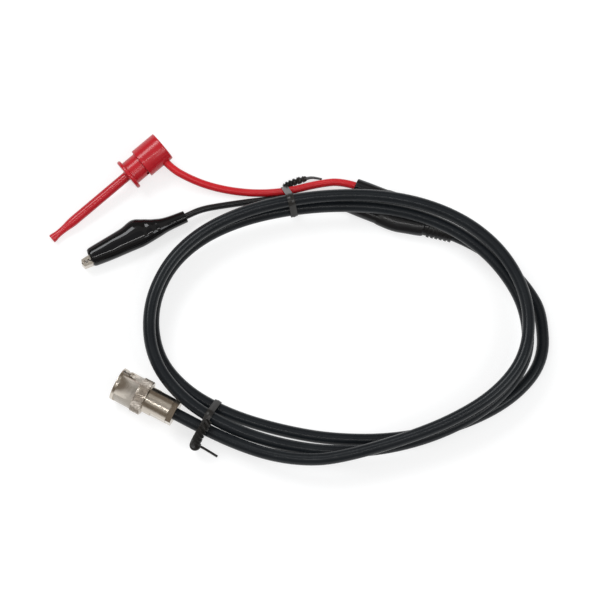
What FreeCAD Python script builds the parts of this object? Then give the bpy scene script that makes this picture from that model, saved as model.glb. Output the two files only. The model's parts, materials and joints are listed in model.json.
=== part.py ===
"""Oscilloscope probe lead: bayonet plug, coiled coax, splitter, hook grabber and booted clip.

Millimetres and degrees. X is to the right, Y away from the front, Z up, and every piece lies on Z = 0.
The plug, the splitter, the grabber and the clip are each modelled along their own X axis and then laid
in place; the cable and the two leads follow routes written in the layout.
"""
import FreeCAD
import Part
import Sketcher
import math
import os
import re

Vector = FreeCAD.Vector
Placement = FreeCAD.Placement
Rotation = FreeCAD.Rotation
UP = Vector(0, 0, 1)

# Driving dimensions
SIZES = {
    # Where things lie, and the direction that each local X axis points
    "plug_front_x": -71.9, "plug_front_y": -36.2, "plug_heading": -28.3,
    "splitter_tail_x": 61.7, "splitter_tail_y": 25.7, "splitter_heading": 158,
    "grabber_tip_x": -99.1, "grabber_tip_y": 24.3, "grabber_heading": 39.7,
    "clip_tip_x": -86.7, "clip_tip_y": 13.0, "clip_heading": 26,
    # Bayonet plug, x from the sleeve's front face
    "contact_radius": 4.05, "contact_wall": 0.7, "contact_recess": 1.6,
    "sleeve_length": 8.9, "sleeve_wall": 0.75, "sleeve_slip": 0.2, "flange_recess": 1.4, "push_room": 1.0,
    "knurl_height": 0.5, "knurl_length": 4.5, "knurl_chamfer": 0.4, "edge_chamfer": 0.3,
    "slot_width": 2.3, "slot_reach": 4.6, "slot_turn": 0.24, "slot_end_radius": 1.3,
    "finger_slot": 0.4, "finger_root": 0.7, "finger_count": 4, "finger_turn": 45,
    "flange_length": 1.4, "flange_height": 1.1, "chamber_clearance": 0.4,
    "spring_space": 1.4, "washer_length": 0.4, "rib_length": 0.75,
    "ring_length": 0.6, "ring_wrap": 310, "groove_depth": 0.65,
    "neck_step": 0.25, "running_gap": 0.3, "seat_gap": 0.05,
    "barrel_step": 1.0, "barrel_wall": 1.25, "barrel_length": 10.3, "flat_depth": 0.6, "flat_start": 3.6,
    "web_front": 13.0, "web_length": 2.0,
    "insulator_front": 5.9, "insulator_slip": 0.1, "insulator_bore": 2.45, "insulator_step": 8.0,
    "pin_front": 3.6, "pin_radius": 0.675, "pin_barrel_radius": 1.0, "pin_length": 9.3,
    "gasket_step": 0.2, "gasket_width": 0.45, "gasket_length": 1.1,
    "hex_land": 0.55, "hex_length": 2.2, "thread_length": 4.4,
    "wave_thickness": 0.25, "wave_inset": 0.1, "wave_clearance": 0.25,
    # Cables and spring wires are many-sided tubes
    "coax_sides": 10, "lead_sides": 8, "wire_sides": 6, "coax_diameter": 4.95, "core_radius": 1.475,
    "conductor_radius": 0.45, "cable_clearance": 0.08,
    # Splitter, x from the end of the ribbed tail
    "tail_wall": 0.945, "tail_length": 11.7, "rib_count": 5, "rib_width": 1.3, "rib_depth": 0.6,
    "shoulder_width": 5.7, "body_start": 23, "body_end": 31.7, "body_width": 7.7, "body_height": 3.7,
    "body_nose": 1.2, "corner_share": 0.9,
    "arm_wall": 1.37, "arm_half_gap": 1.4, "arm_end": 43.7, "lead_entry": 6, "splice_radius": 1.1,
    "jacket_entry": 18, "chamber_end": 27.5, "chamber_side": 2.1, "chamber_cover": 1.8,
    # Leads
    "red_diameter": 3.1, "black_diameter": 2.6,
    # Hook grabber, x from the nose tip
    "hook_wire": 0.7, "hook_bend": 0.42, "hook_return": 1.0, "hook_clearance": 0.45,
    "nose_neck_wall": 0.6, "nose_wall": 1.2, "nose_taper_end": 10.3, "nose_neck_end": 6.6,
    "tip_clearance": 0.21, "tip_wall": 0.4, "tip_bore_depth": 2.4,
    "thumb_flange_x": 39.5, "thumb_flange_radius": 6.7, "thumb_flange_length": 1.5,
    "grip_bore": 4.3, "grip_wall": 0.8, "grip_length": 8.5, "grip_slot": 3.7, "grip_slot_depth": 3.5,
    "pull_room": 6.0, "ferrule_room": 2.5, "notch_inset": 2.7, "cap_back": 3.5,
    "cap_clearance": 0.3, "cap_skin": 0.9, "cap_wall": 1.5,
    "ferrule_radius": 1.5, "collar_clearance": 0.4,
    "return_wire": 0.6, "return_clearance": 0.6, "return_turns": 3,
    # Clip, x from the jaw tips, z along the pivot pin
    "clip_height": 4.0, "jaw_half_width": 2.2, "sheet": 0.5, "jaw_tip": 1.6, "jaw_gap": 0.1,
    "jaw_length": 12.5, "tooth_pitch": 1.7, "tooth_depth": 0.8, "tooth_count": 6,
    "pivot_x": 19.5, "pivot_y": 0.8, "pivot_radius": 0.9, "pivot_rivet": 0.6, "lever_clearance": 0.15,
    "crimp_start": 33, "crimp_end": 38.5, "crimp_wall": 0.45,
    "torsion_wire": 0.4, "torsion_clearance": 0.4, "torsion_pitch": 0.8, "torsion_turns": 1,
    "lever_roof": 4.6, "jaw_floor": 2.6,
    "boot_wall": 0.6, "boot_start": 4.1, "boot_sleeve": 7.3,
    # Twist ties
    "tie_width": 3.0, "tie_thickness": 0.6, "upper_tie_gap": 0.55, "lower_tie_gap": 0.25,
}

# Sizes that follow from those, so that what fits together still fits when one of them changes
FITS = {
    "contact_bore": "contact_radius - contact_wall",
    "insulator_radius": "contact_bore - insulator_slip",
    "gasket_seat": "contact_radius + gasket_step",
    "gasket_radius": "gasket_seat + gasket_width",
    "sleeve_bore": "gasket_radius + sleeve_slip",
    "neck_radius": "gasket_seat + neck_step",
    "groove_radius": "neck_radius - groove_depth",
    "flange_radius": "neck_radius + flange_height",
    "ring_radius": "flange_radius",
    "wave_radius": "flange_radius - wave_inset",
    "wave_bore": "neck_radius + wave_clearance",
    "chamber_radius": "flange_radius + chamber_clearance",
    "sleeve_radius": "chamber_radius + sleeve_wall",
    "knurl_radius": "sleeve_radius + knurl_height",
    "flange_front": "sleeve_length - flange_recess",
    "bore_depth": "flange_front - push_room",
    "finger_length": "flange_front - gasket_length - 2 * seat_gap - contact_recess - finger_root",
    "barrel_radius": "neck_radius + barrel_step",
    "flat_offset": "barrel_radius - flat_depth",
    "clamp_bore": "barrel_radius - barrel_wall",
    "hex_flats": "2 * (clamp_bore + hex_land)",
    "tail_radius": "coax_diameter / 2 + cable_clearance + tail_wall",
    "arm_radius": "red_diameter / 2 + cable_clearance + arm_wall",
    "arm_spacing": "arm_radius + arm_half_gap",
    "chamber_half_width": "body_width - chamber_side",
    "chamber_half_height": "body_height - chamber_cover",
    "nose_bore": "hook_wire / 2 + hook_clearance",
    "nose_neck_radius": "nose_bore + nose_neck_wall",
    "nose_radius": "nose_bore + nose_wall",
    "tip_bore": "2 * hook_bend + hook_wire / 2 + tip_clearance",
    "nose_tip_radius": "tip_bore + tip_wall",
    "grip_radius": "grip_bore + grip_wall",
    "grip_end": "thumb_flange_x + thumb_flange_length + grip_length",
    "grip_slot_start": "grip_end - grip_slot_depth",
    "cap_front": "thumb_flange_x + thumb_flange_length + pull_room",
    "ferrule_front": "grip_end + ferrule_room",
    "cap_notch_x": "ferrule_front + notch_inset",
    "cap_end": "cap_notch_x + cap_back",
    "cap_bore": "grip_radius + cap_clearance",
    "cap_radius": "cap_bore + cap_skin",
    "ferrule_collar": "grip_bore - collar_clearance",
    "return_radius": "grip_bore - return_clearance - return_wire / 2",
    "pivot_head": "pivot_radius + pivot_rivet",
    "torsion_radius": "pivot_radius + torsion_wire / 2 + torsion_clearance",
    "boot_end": "crimp_end + boot_sleeve",
}

doc = FreeCAD.newDocument("ProbeLead")
sheet = doc.addObject("Spreadsheet::Sheet", "Sizes")
CELLS = [*SIZES.items(), *((alias, "=" + text) for alias, text in FITS.items())]
for row, (alias, content) in enumerate(CELLS, start=1):
    sheet.set("A%d" % row, alias.replace("_", " "))
    sheet.set("B%d" % row, str(content))
    sheet.setAlias("B%d" % row, alias)
doc.recompute()

NODES = {}


def size(text):
    """Value of a sum of sizes, written with their names."""
    return float(sheet.evalExpression(text))


def linked(text):
    """The same sum as an expression that reads the sheet's cells."""
    return re.sub(r"\b([a-z]+(?:_[a-z]+)+|sheet)\b", r"Sizes.\1", str(text))


# Sketches and features whose sizes are read from the sheet


def new_body(name):
    body = doc.addObject("PartDesign::Body", "Body_" + name)
    body.Label = name
    NODES[name] = body
    return body


def new_sketch(body, role, offset=None):
    """Empty sketch on one of the body's origin planes, moved along its normal by offset."""
    plane = [item for item in body.Origin.OriginFeatures if item.Role == role][0]
    sketch = body.newObject("Sketcher::SketchObject", "Sketch")
    sketch.AttachmentSupport = (plane, [""])
    sketch.MapMode = "FlatFace"
    if offset is not None:
        sketch.setExpression("AttachmentOffset.Base.z", linked(offset))
    return sketch


def pin_point(sketch, geometry, point, across, along):
    for kind, text in (("DistanceX", across), ("DistanceY", along)):
        index = sketch.addConstraint(Sketcher.Constraint(kind, geometry, point, size(str(text))))
        sketch.setExpression("Constraints[%d]" % index, linked(text))


def add_outline(sketch, corners):
    """Closed outline through the corners, each a pair of sums of sizes."""
    places = [Vector(size(str(across)), size(str(along)), 0) for across, along in corners]
    first = sketch.GeometryCount
    for number, place in enumerate(places):
        sketch.addGeometry(Part.LineSegment(place, places[(number + 1) % len(places)]))
    for number, corner in enumerate(corners):
        following = first + (number + 1) % len(corners)
        sketch.addConstraint(Sketcher.Constraint("Coincident", first + number, 2, following, 1))
        pin_point(sketch, first + number, 1, *corner)


def add_circle(sketch, across, along, radius):
    middle = Vector(size(str(across)), size(str(along)), 0)
    index = sketch.addGeometry(Part.Circle(middle, UP, size(str(radius))))
    pin_point(sketch, index, 3, across, along)
    number = sketch.addConstraint(Sketcher.Constraint("Radius", index, size(str(radius))))
    sketch.setExpression("Constraints[%d]" % number, linked(radius))


def add_rounded(sketch, middle, half_width, half_height, corner):
    """Rounded rectangle of straight sides that keep their directions, so that lofts have flat faces."""
    quarter = []
    for step in range(4):
        angle = math.radians(30 * step)
        quarter.append(("%s - (%s) * %.4f" % (half_width, corner, 1 - math.cos(angle)),
                        "%s - (%s) * %.4f" % (half_height, corner, 1 - math.sin(angle))))
    corners = []
    for across_sign, along_sign in ((1, 1), (-1, 1), (-1, -1), (1, -1)):
        points = quarter if across_sign == along_sign else quarter[::-1]
        corners += [("%s + %d * (%s)" % (middle, across_sign, across), "%d * (%s)" % (along_sign, along))
                    for across, along in points]
    add_outline(sketch, corners)


def turned(body, corners, wrap="360", axis="H_Axis", cut=False):
    """Solid of revolution about the local X axis (or the sketch's upright axis), or a cut of one."""
    sketch = new_sketch(body, "XZ_Plane")
    add_outline(sketch, corners)
    feature = body.newObject("PartDesign::" + ("Groove" if cut else "Revolution"), "Turned")
    feature.Profile = sketch
    feature.ReferenceAxis = (sketch, [axis])
    feature.setExpression("Angle", linked(wrap))
    doc.recompute()
    return feature


def raised(body, sketch, length, both=False, back=False):
    feature = body.newObject("PartDesign::Pad", "Pad")
    feature.Profile = sketch
    feature.Midplane = both
    feature.Reversed = back
    feature.setExpression("Length", linked(length))
    doc.recompute()
    return feature


def sunk(body, sketch, length, both=False, back=False):
    """Pocket along the sketch's normal; it must take something away."""
    before = body.Shape.Volume
    feature = body.newObject("PartDesign::Pocket", "Pocket")
    feature.Profile = sketch
    feature.Midplane = both
    feature.Reversed = back
    feature.setExpression("Length", linked(length))
    doc.recompute()
    if not feature.Shape.Volume < before - 1e-4:
        raise ValueError("%s: a pocket cuts nothing" % body.Label)
    return feature


def patterned(body, feature, kind, count, axis, extent):
    """Polar or linear pattern of one feature along an origin axis."""
    pattern = body.newObject("PartDesign::" + kind, kind)
    pattern.Originals = [feature]
    line = [item for item in body.Origin.OriginFeatures if item.Role == axis][0]
    if kind == "PolarPattern":
        pattern.Axis = (line, [""])
        pattern.setExpression("Angle", linked(extent))
    else:
        pattern.Direction = (line, [""])
        pattern.setExpression("Length", linked(extent))
    pattern.setExpression("Occurrences", linked(count))
    body.Tip = pattern
    doc.recompute()
    return pattern


def rounded(body, kind, amount, wanted):
    """Fillet or chamfer on the edges that the test picks."""
    base = body.Tip
    names = ["Edge%d" % number for number, edge in enumerate(base.Shape.Edges, start=1) if wanted(edge)]
    if not names:
        raise ValueError("%s: no edge to dress" % body.Label)
    feature = body.newObject("PartDesign::" + kind, kind)
    feature.Base = (base, names)
    feature.setExpression("Radius" if kind == "Fillet" else "Size", linked(amount))
    doc.recompute()
    return feature


def ring_edge(x, radius):
    """Test for the round edge of this radius at this place along X."""
    def wanted(edge):
        curve = edge.Curve
        if curve.TypeId != "Part::GeomCircle":
            return False
        return abs(curve.Radius - size(radius)) < 1e-3 and abs(curve.Center.x - size(x)) < 1e-3
    return wanted


def solid_node(name, shape):
    """Piece whose shape is worked out here, because no sketch or primitive fits its form."""
    piece = doc.addObject("Part::Feature", "Piece_" + name)
    piece.Label = name
    piece.Shape = shape
    NODES[name] = piece
    return piece


# Bayonet plug

KNURL_END = "(sleeve_length + knurl_length)"
FLANGE_END = "(flange_front + flange_length)"
WASHER_FRONT = "(%s + spring_space)" % FLANGE_END
RIB_FRONT = "(%s + washer_length + seat_gap)" % WASHER_FRONT
RIB_END = "(%s + rib_length)" % RIB_FRONT
RING_FRONT = "(%s + running_gap)" % RIB_END
RING_END = "(%s + ring_length)" % RING_FRONT
BARREL_FRONT = "(%s + running_gap)" % KNURL_END
BARREL_END = "(%s + barrel_length)" % BARREL_FRONT
WEB_END = "(web_front + web_length)"
HEX_FRONT = "(%s + seat_gap)" % BARREL_END
PLUG_END = "(%s + hex_length)" % HEX_FRONT
THREAD_FRONT = "(%s - thread_length)" % HEX_FRONT
CABLE_BORE = "(coax_diameter / 2 + cable_clearance)"
CORE_BORE = "(core_radius + cable_clearance)"
CLAMP_FIT = "(clamp_bore - 0.1)"
JACKET_START = "(%s + 1.9)" % WEB_END
GASKET_FRONT = "(flange_front - gasket_length - seat_gap)"


def coupling_sleeve():
    body = new_body("bnc_coupling_sleeve")
    turned(body, [
        (0, "sleeve_bore"), (0, "sleeve_radius"), ("sleeve_length", "sleeve_radius"),
        ("sleeve_length", "knurl_radius - knurl_chamfer"),
        ("sleeve_length + knurl_chamfer", "knurl_radius"),
        (KNURL_END + " - knurl_chamfer", "knurl_radius"),
        (KNURL_END, "knurl_radius - knurl_chamfer"), (KNURL_END, "chamber_radius"),
        (RIB_END, "chamber_radius"), (RIB_END, "neck_radius + running_gap / 2"),
        (RIB_FRONT, "neck_radius + running_gap / 2"), (RIB_FRONT, "chamber_radius"),
        ("bore_depth", "chamber_radius"), ("bore_depth", "sleeve_bore")])
    rounded(body, "Chamfer", "edge_chamfer", ring_edge("0", "sleeve_radius"))
    # One helical slot from the front face, then its twin half a turn round
    sketch = new_sketch(body, "XZ_Plane")
    low, high = "sleeve_bore - 0.6", "knurl_radius"
    add_outline(sketch, [("-slot_width", low), (0, low), (0, high), ("-slot_width", high)])
    slot = body.newObject("PartDesign::SubtractiveHelix", "Slot")
    slot.Profile = sketch
    slot.ReferenceAxis = (sketch, ["H_Axis"])
    slot.Mode = 2
    slot.setExpression("Height", linked("slot_reach + slot_width / 2"))
    slot.setExpression("Turns", linked("slot_turn"))
    doc.recompute()
    patterned(body, slot, "PolarPattern", "2", "X_Axis", "360")
    # The round hole at each slot's end, where the mating lug locks
    hole = body.newObject("PartDesign::SubtractiveCylinder", "LugHole")
    hole.setExpression("Radius", linked("slot_end_radius"))
    hole.setExpression("Height", linked("2 * knurl_radius"))
    plane = [item for item in body.Origin.OriginFeatures if item.Role == "XY_Plane"][0]
    hole.AttachmentSupport = (plane, [""])
    hole.MapMode = "FlatFace"
    turn = size("360 * slot_turn")
    around = Rotation(Vector(1, 0, 0), -turn)
    back = around.multVec(Vector(0, 0, -size("knurl_radius")))
    hole.AttachmentOffset = Placement(back + Vector(size("slot_reach"), 0, 0), around)
    doc.recompute()


def plug_body():
    body = new_body("bnc_body")
    turned(body, [
        ("contact_recess", "contact_bore"), ("contact_recess", "contact_radius"),
        (GASKET_FRONT + " - seat_gap", "contact_radius"), (GASKET_FRONT + " - seat_gap", "gasket_seat"),
        ("flange_front", "gasket_seat"), ("flange_front", "flange_radius"),
        (FLANGE_END, "flange_radius"), (FLANGE_END, "neck_radius"),
        (RING_FRONT + " - seat_gap", "neck_radius"), (RING_FRONT + " - seat_gap", "groove_radius"),
        (RING_END + " + seat_gap", "groove_radius"), (RING_END + " + seat_gap", "neck_radius"),
        (BARREL_FRONT, "neck_radius"), (BARREL_FRONT, "barrel_radius"),
        (BARREL_END, "barrel_radius"), (BARREL_END, "clamp_bore"), (WEB_END, "clamp_bore"),
        (WEB_END, CORE_BORE), ("web_front", CORE_BORE), ("web_front", "contact_bore")])
    # Spring fingers of the outer contact
    sketch = new_sketch(body, "XY_Plane")
    half = "finger_slot / 2"
    end = "contact_recess + finger_length"
    add_outline(sketch, [(0, "-" + half), (end, "-" + half), (end, half), (0, half)])
    sketch.AttachmentOffset = Placement(Vector(), Rotation(Vector(1, 0, 0), size("finger_turn")))
    slot = sunk(body, sketch, "contact_radius + 1", back=True)
    patterned(body, slot, "PolarPattern", "finger_count", "X_Axis", "360")
    # Two wrench flats
    for side in ("", "-"):
        sketch = new_sketch(body, "XY_Plane")
        inner, outer = side + "flat_offset", side + "(barrel_radius + 1)"
        start, stop = BARREL_FRONT + " + flat_start", BARREL_END + " + 1"
        add_outline(sketch, [(start, inner), (stop, inner), (stop, outer), (start, outer)])
        sunk(body, sketch, "4 * barrel_radius", both=True)


def plug_insides():
    turned(new_body("bnc_thrust_washer"), [
        (WASHER_FRONT, "neck_radius + running_gap"), (WASHER_FRONT, "flange_radius"),
        (WASHER_FRONT + " + washer_length", "flange_radius"),
        (WASHER_FRONT + " + washer_length", "neck_radius + running_gap")])
    turned(new_body("bnc_retaining_ring"), [
        (RING_FRONT, "groove_radius + seat_gap"), (RING_FRONT, "ring_radius"),
        (RING_END, "ring_radius"), (RING_END, "groove_radius + seat_gap")], wrap="ring_wrap")
    turned(new_body("bnc_face_gasket"), [
        (GASKET_FRONT, "gasket_seat + seat_gap"), (GASKET_FRONT, "gasket_radius"),
        ("flange_front - seat_gap", "gasket_radius"),
        ("flange_front - seat_gap", "gasket_seat + seat_gap")])
    turned(new_body("bnc_insulator"), [
        ("insulator_front", "insulator_bore"), ("insulator_front", "insulator_radius"),
        ("web_front - seat_gap", "insulator_radius"),
        ("web_front - seat_gap", "pin_barrel_radius + seat_gap"),
        ("insulator_step", "pin_barrel_radius + seat_gap"), ("insulator_step", "insulator_bore")])
    pin_end = "(pin_front + pin_length)"
    turned(new_body("bnc_centre_pin"), [
        ("pin_front", 0), ("pin_front", "pin_radius / 2"), ("pin_front + 0.4", "pin_radius"),
        ("insulator_step", "pin_radius"), ("insulator_step", "pin_barrel_radius"),
        (pin_end, "pin_barrel_radius"), (pin_end, "conductor_radius + seat_gap"),
        ("insulator_step + 1.5", "conductor_radius + seat_gap"), ("insulator_step + 1.5", 0)])
    turned(new_body("bnc_braid_clamp"), [
        (WEB_END + " + seat_gap", CORE_BORE), (WEB_END + " + seat_gap", CLAMP_FIT),
        (WEB_END + " + 1", CLAMP_FIT), (WEB_END + " + 1", "coax_diameter / 2 - 0.1"),
        (JACKET_START + " - seat_gap", "core_radius + 0.4"), (JACKET_START + " - seat_gap", CORE_BORE)])
    gasket_start = "(%s + 1 + seat_gap)" % WEB_END
    slip_front = "(%s - seat_gap - 0.6)" % THREAD_FRONT
    turned(new_body("bnc_cable_gasket"), [
        (gasket_start, CABLE_BORE), (gasket_start, CLAMP_FIT),
        (slip_front + " - seat_gap", CLAMP_FIT), (slip_front + " - seat_gap", CABLE_BORE)])
    turned(new_body("bnc_slip_washer"), [
        (slip_front, CABLE_BORE), (slip_front, CLAMP_FIT),
        (THREAD_FRONT + " - seat_gap", CLAMP_FIT), (THREAD_FRONT + " - seat_gap", CABLE_BORE)])
    turned(new_body("coax_conductor_plug"), [
        ("insulator_step + 1.5 + seat_gap", 0), ("insulator_step + 1.5 + seat_gap", "conductor_radius"),
        (pin_end + " + seat_gap", "conductor_radius"), (pin_end + " + seat_gap", 0)])
    turned(new_body("coax_dielectric_plug"), [
        (pin_end + " + 2 * seat_gap", 0), (pin_end + " + 2 * seat_gap", "core_radius"),
        (JACKET_START, "core_radius"), (JACKET_START, 0)])


def clamp_nut():
    body = new_body("bnc_clamp_nut")
    turned(body, [
        (THREAD_FRONT, CABLE_BORE), (THREAD_FRONT, CLAMP_FIT),
        (HEX_FRONT + " + 0.2", CLAMP_FIT), (HEX_FRONT + " + 0.2", CABLE_BORE)])
    sketch = new_sketch(body, "YZ_Plane", HEX_FRONT)
    across = "hex_flats / 2"
    corner = "hex_flats / 1.7320508"
    add_outline(sketch, [
        (across, corner + " / 2"), (0, corner), ("-" + across, corner + " / 2"),
        ("-" + across, "-" + corner + " / 2"), (0, "-" + corner), (across, "-" + corner + " / 2")])
    add_circle(sketch, 0, 0, CABLE_BORE)
    raised(body, sketch, "hex_length")


def wave_spring():
    """Curved spring washer: a ring cut from an arched sheet, bowed between flange and thrust washer."""
    height = "(spring_space - 2 * seat_gap)"
    bow = "(%s - wave_thickness)" % height
    arch = "((wave_radius ^ 2 + %s ^ 2) / (2 * %s))" % (bow, bow)

    def cylinder(name, radius, length, axis, x):
        piece = doc.addObject("Part::Cylinder", name)
        piece.setExpression("Radius", linked(radius))
        piece.setExpression("Height", linked(length))
        turn = Rotation(UP, axis)
        shift = Vector(0, 0, 0) if axis == Vector(1, 0, 0) else Vector(0, -size(length) / 2, 0)
        piece.Placement = Placement(Vector(x, 0, 0) + shift, turn)
        return piece

    def cut(name, base, tool):
        piece = doc.addObject("Part::Cut", name)
        piece.Base = base
        piece.Tool = tool
        return piece

    front = size(FLANGE_END + " + seat_gap")
    along, sideways = Vector(1, 0, 0), Vector(0, 1, 0)
    ring = cut("WaveRing", cylinder("WaveOuter", "wave_radius", height, along, front),
               cylinder("WaveInner", "wave_bore", height, along, front))
    middle = front + size(arch)
    arched = cut("WaveSheet", cylinder("WaveArch", arch, "4 * wave_radius", sideways, middle),
                 cylinder("WaveHollow", arch + " - wave_thickness", "5 * wave_radius", sideways, middle))
    spring = doc.addObject("Part::Common", "Piece_bnc_wave_spring")
    spring.Label = "bnc_wave_spring"
    spring.Base = ring
    spring.Tool = arched
    NODES["bnc_wave_spring"] = spring


PLUG_NODES = [
    "bnc_coupling_sleeve", "bnc_body", "bnc_thrust_washer", "bnc_retaining_ring", "bnc_face_gasket",
    "bnc_insulator", "bnc_centre_pin", "bnc_braid_clamp", "bnc_cable_gasket", "bnc_slip_washer",
    "coax_conductor_plug", "coax_dielectric_plug", "bnc_clamp_nut", "bnc_wave_spring"]


# Splitter: ribbed tail, flat body, two tubular arms


def splitter_housing():
    body = new_body("junction_housing")

    def oval(x, half_width, half_height):
        sketch = new_sketch(body, "YZ_Plane", x)
        add_rounded(sketch, "0", half_width, half_height, "corner_share * (%s)" % half_height)
        return sketch

    def lofted(sections):
        feature = body.newObject("PartDesign::AdditiveLoft", "Loft")
        feature.Profile = sections[0]
        feature.Sections = sections[1:]
        feature.Ruled = True
        doc.recompute()

    # Core of the tail, thinner than its ribs by their depth
    slope_w = "(shoulder_width - tail_radius) / tail_length"
    slope_h = "(body_height - tail_radius) / tail_length"
    lofted([oval("0", "tail_radius - rib_depth", "tail_radius - rib_depth"),
            oval("tail_length + 0.1", "shoulder_width - rib_depth", "body_height - rib_depth")])
    lofted([oval("tail_length", "shoulder_width", "body_height"),
            oval("(tail_length + body_start) / 2", "(shoulder_width + body_width) / 2 + 0.3", "body_height"),
            oval("body_start", "body_width", "body_height"),
            oval("body_end - body_nose", "body_width", "body_height"),
            oval("body_end", "body_width - body_nose / 2", "body_height - body_nose / 2")])
    for number in range(int(size("rib_count"))):
        x = "%d * (tail_length - rib_width) / rib_count" % number
        ring = oval(x, "tail_radius + (%s) * %s" % (x, slope_w), "tail_radius + (%s) * %s" % (x, slope_h))
        raised(body, ring, "rib_width")
    for side in ("", "-"):
        sketch = new_sketch(body, "YZ_Plane", "body_end - 1")
        add_circle(sketch, side + "arm_spacing", 0, "arm_radius")
        raised(body, sketch, "arm_end - body_end + 1")
    # Cable bore, splice chamber and the two lead bores
    sketch = new_sketch(body, "YZ_Plane")
    add_circle(sketch, 0, 0, CABLE_BORE)
    sunk(body, sketch, "jacket_entry", back=True)
    sketch = new_sketch(body, "YZ_Plane", "jacket_entry - 0.1")
    wide, high = "chamber_half_width", "chamber_half_height"
    add_outline(sketch, [("-" + wide, "-" + high), (wide, "-" + high), (wide, high), ("-" + wide, high)])
    sunk(body, sketch, "chamber_end - jacket_entry + 0.1", back=True)
    for side, lead in (("-", "red_diameter"), ("", "black_diameter")):
        sketch = new_sketch(body, "YZ_Plane", "arm_end")
        add_circle(sketch, side + "arm_spacing", 0, lead + " / 2 + cable_clearance")
        sunk(body, sketch, "arm_end - chamber_end + 0.1")


def splices():
    """Crimp barrels that join the coax conductor and braid to the two leads."""
    start = "jacket_entry + 2"
    end = "chamber_end - 1"
    for name, side in (("splice_red", "-"), ("splice_black", "")):
        body = new_body(name)
        sketch = new_sketch(body, "YZ_Plane", start)
        add_circle(sketch, side + "arm_spacing", 0, "splice_radius")
        raised(body, sketch, "%s - (%s)" % (end, start))
        sketch = new_sketch(body, "YZ_Plane", end)
        add_circle(sketch, side + "arm_spacing", 0, "splice_radius / 2")
        raised(body, sketch, "arm_end - lead_entry - (%s)" % end)
    body = new_body("coax_dielectric_junction")
    turned(body, [
        ("jacket_entry + seat_gap", 0), ("jacket_entry + seat_gap", "core_radius"),
        ("jacket_entry + 1.8", "core_radius"), ("jacket_entry + 1.8", "conductor_radius"),
        ("jacket_entry + 5", "conductor_radius"), ("jacket_entry + 5", 0)])


SPLITTER_NODES = ["junction_housing", "splice_red", "splice_black", "coax_dielectric_junction"]


# Hook grabber


def grabber_barrel():
    body = new_body("grabber_barrel")
    flange_end = "(thumb_flange_x + thumb_flange_length)"
    floor = flange_end + " + 1"
    turned(body, [
        (0, "tip_bore"), (0, "nose_tip_radius"), (1.0, "nose_tip_radius"), (3.2, "nose_neck_radius"),
        ("nose_neck_end", "nose_neck_radius + 0.1"), ("nose_taper_end", "nose_radius"),
        ("thumb_flange_x", "nose_radius"), ("thumb_flange_x", "thumb_flange_radius"),
        (flange_end, "thumb_flange_radius"), (flange_end, "grip_radius"), ("grip_end", "grip_radius"),
        ("grip_end", "grip_bore"), (floor, "grip_bore"), (floor, "nose_bore"),
        ("tip_bore_depth + 0.6", "nose_bore"), ("tip_bore_depth", "tip_bore")])
    for x in ("thumb_flange_x", flange_end):
        rounded(body, "Chamfer", "thumb_flange_length * 0.3", ring_edge(x, "thumb_flange_radius"))
    # Slot for the lead, open at the rear
    sketch = new_sketch(body, "XZ_Plane")
    half = "grip_slot / 2"
    add_outline(sketch, [("grip_slot_start", "-" + half), ("grip_end + 1", "-" + half),
                         ("grip_end + 1", half), ("grip_slot_start", half)])
    sunk(body, sketch, "grip_radius + 1", back=True)


def grabber_cap():
    body = new_body("grabber_cap")
    turned(body, [
        ("cap_front", "cap_bore"), ("cap_front", "cap_radius"), ("cap_end", "cap_radius"),
        ("cap_end", 0), ("cap_end - cap_wall", 0), ("cap_end - cap_wall", "cap_bore")])
    rounded(body, "Chamfer", "edge_chamfer", ring_edge("cap_end", "cap_radius"))
    sketch = new_sketch(body, "XZ_Plane")
    add_circle(sketch, "cap_notch_x", 0, "red_diameter / 2 + cable_clearance")
    sunk(body, sketch, "cap_radius + 1", back=True)


def grabber_ferrule():
    body = new_body("grabber_ferrule")
    end = "cap_end - cap_wall - seat_gap"
    bore = "hook_wire / 2 + seat_gap"
    turned(body, [
        ("ferrule_front", bore), ("ferrule_front", "ferrule_collar"),
        ("ferrule_front + 0.8", "ferrule_collar"), ("ferrule_front + 0.8", "ferrule_radius"),
        (end, "ferrule_radius"), (end, 0), ("cap_notch_x", 0), ("cap_notch_x", bore)])


# Clip: two sheet-metal jaws on a pivot pin, closed by a torsion spring, in a soft boot


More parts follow.
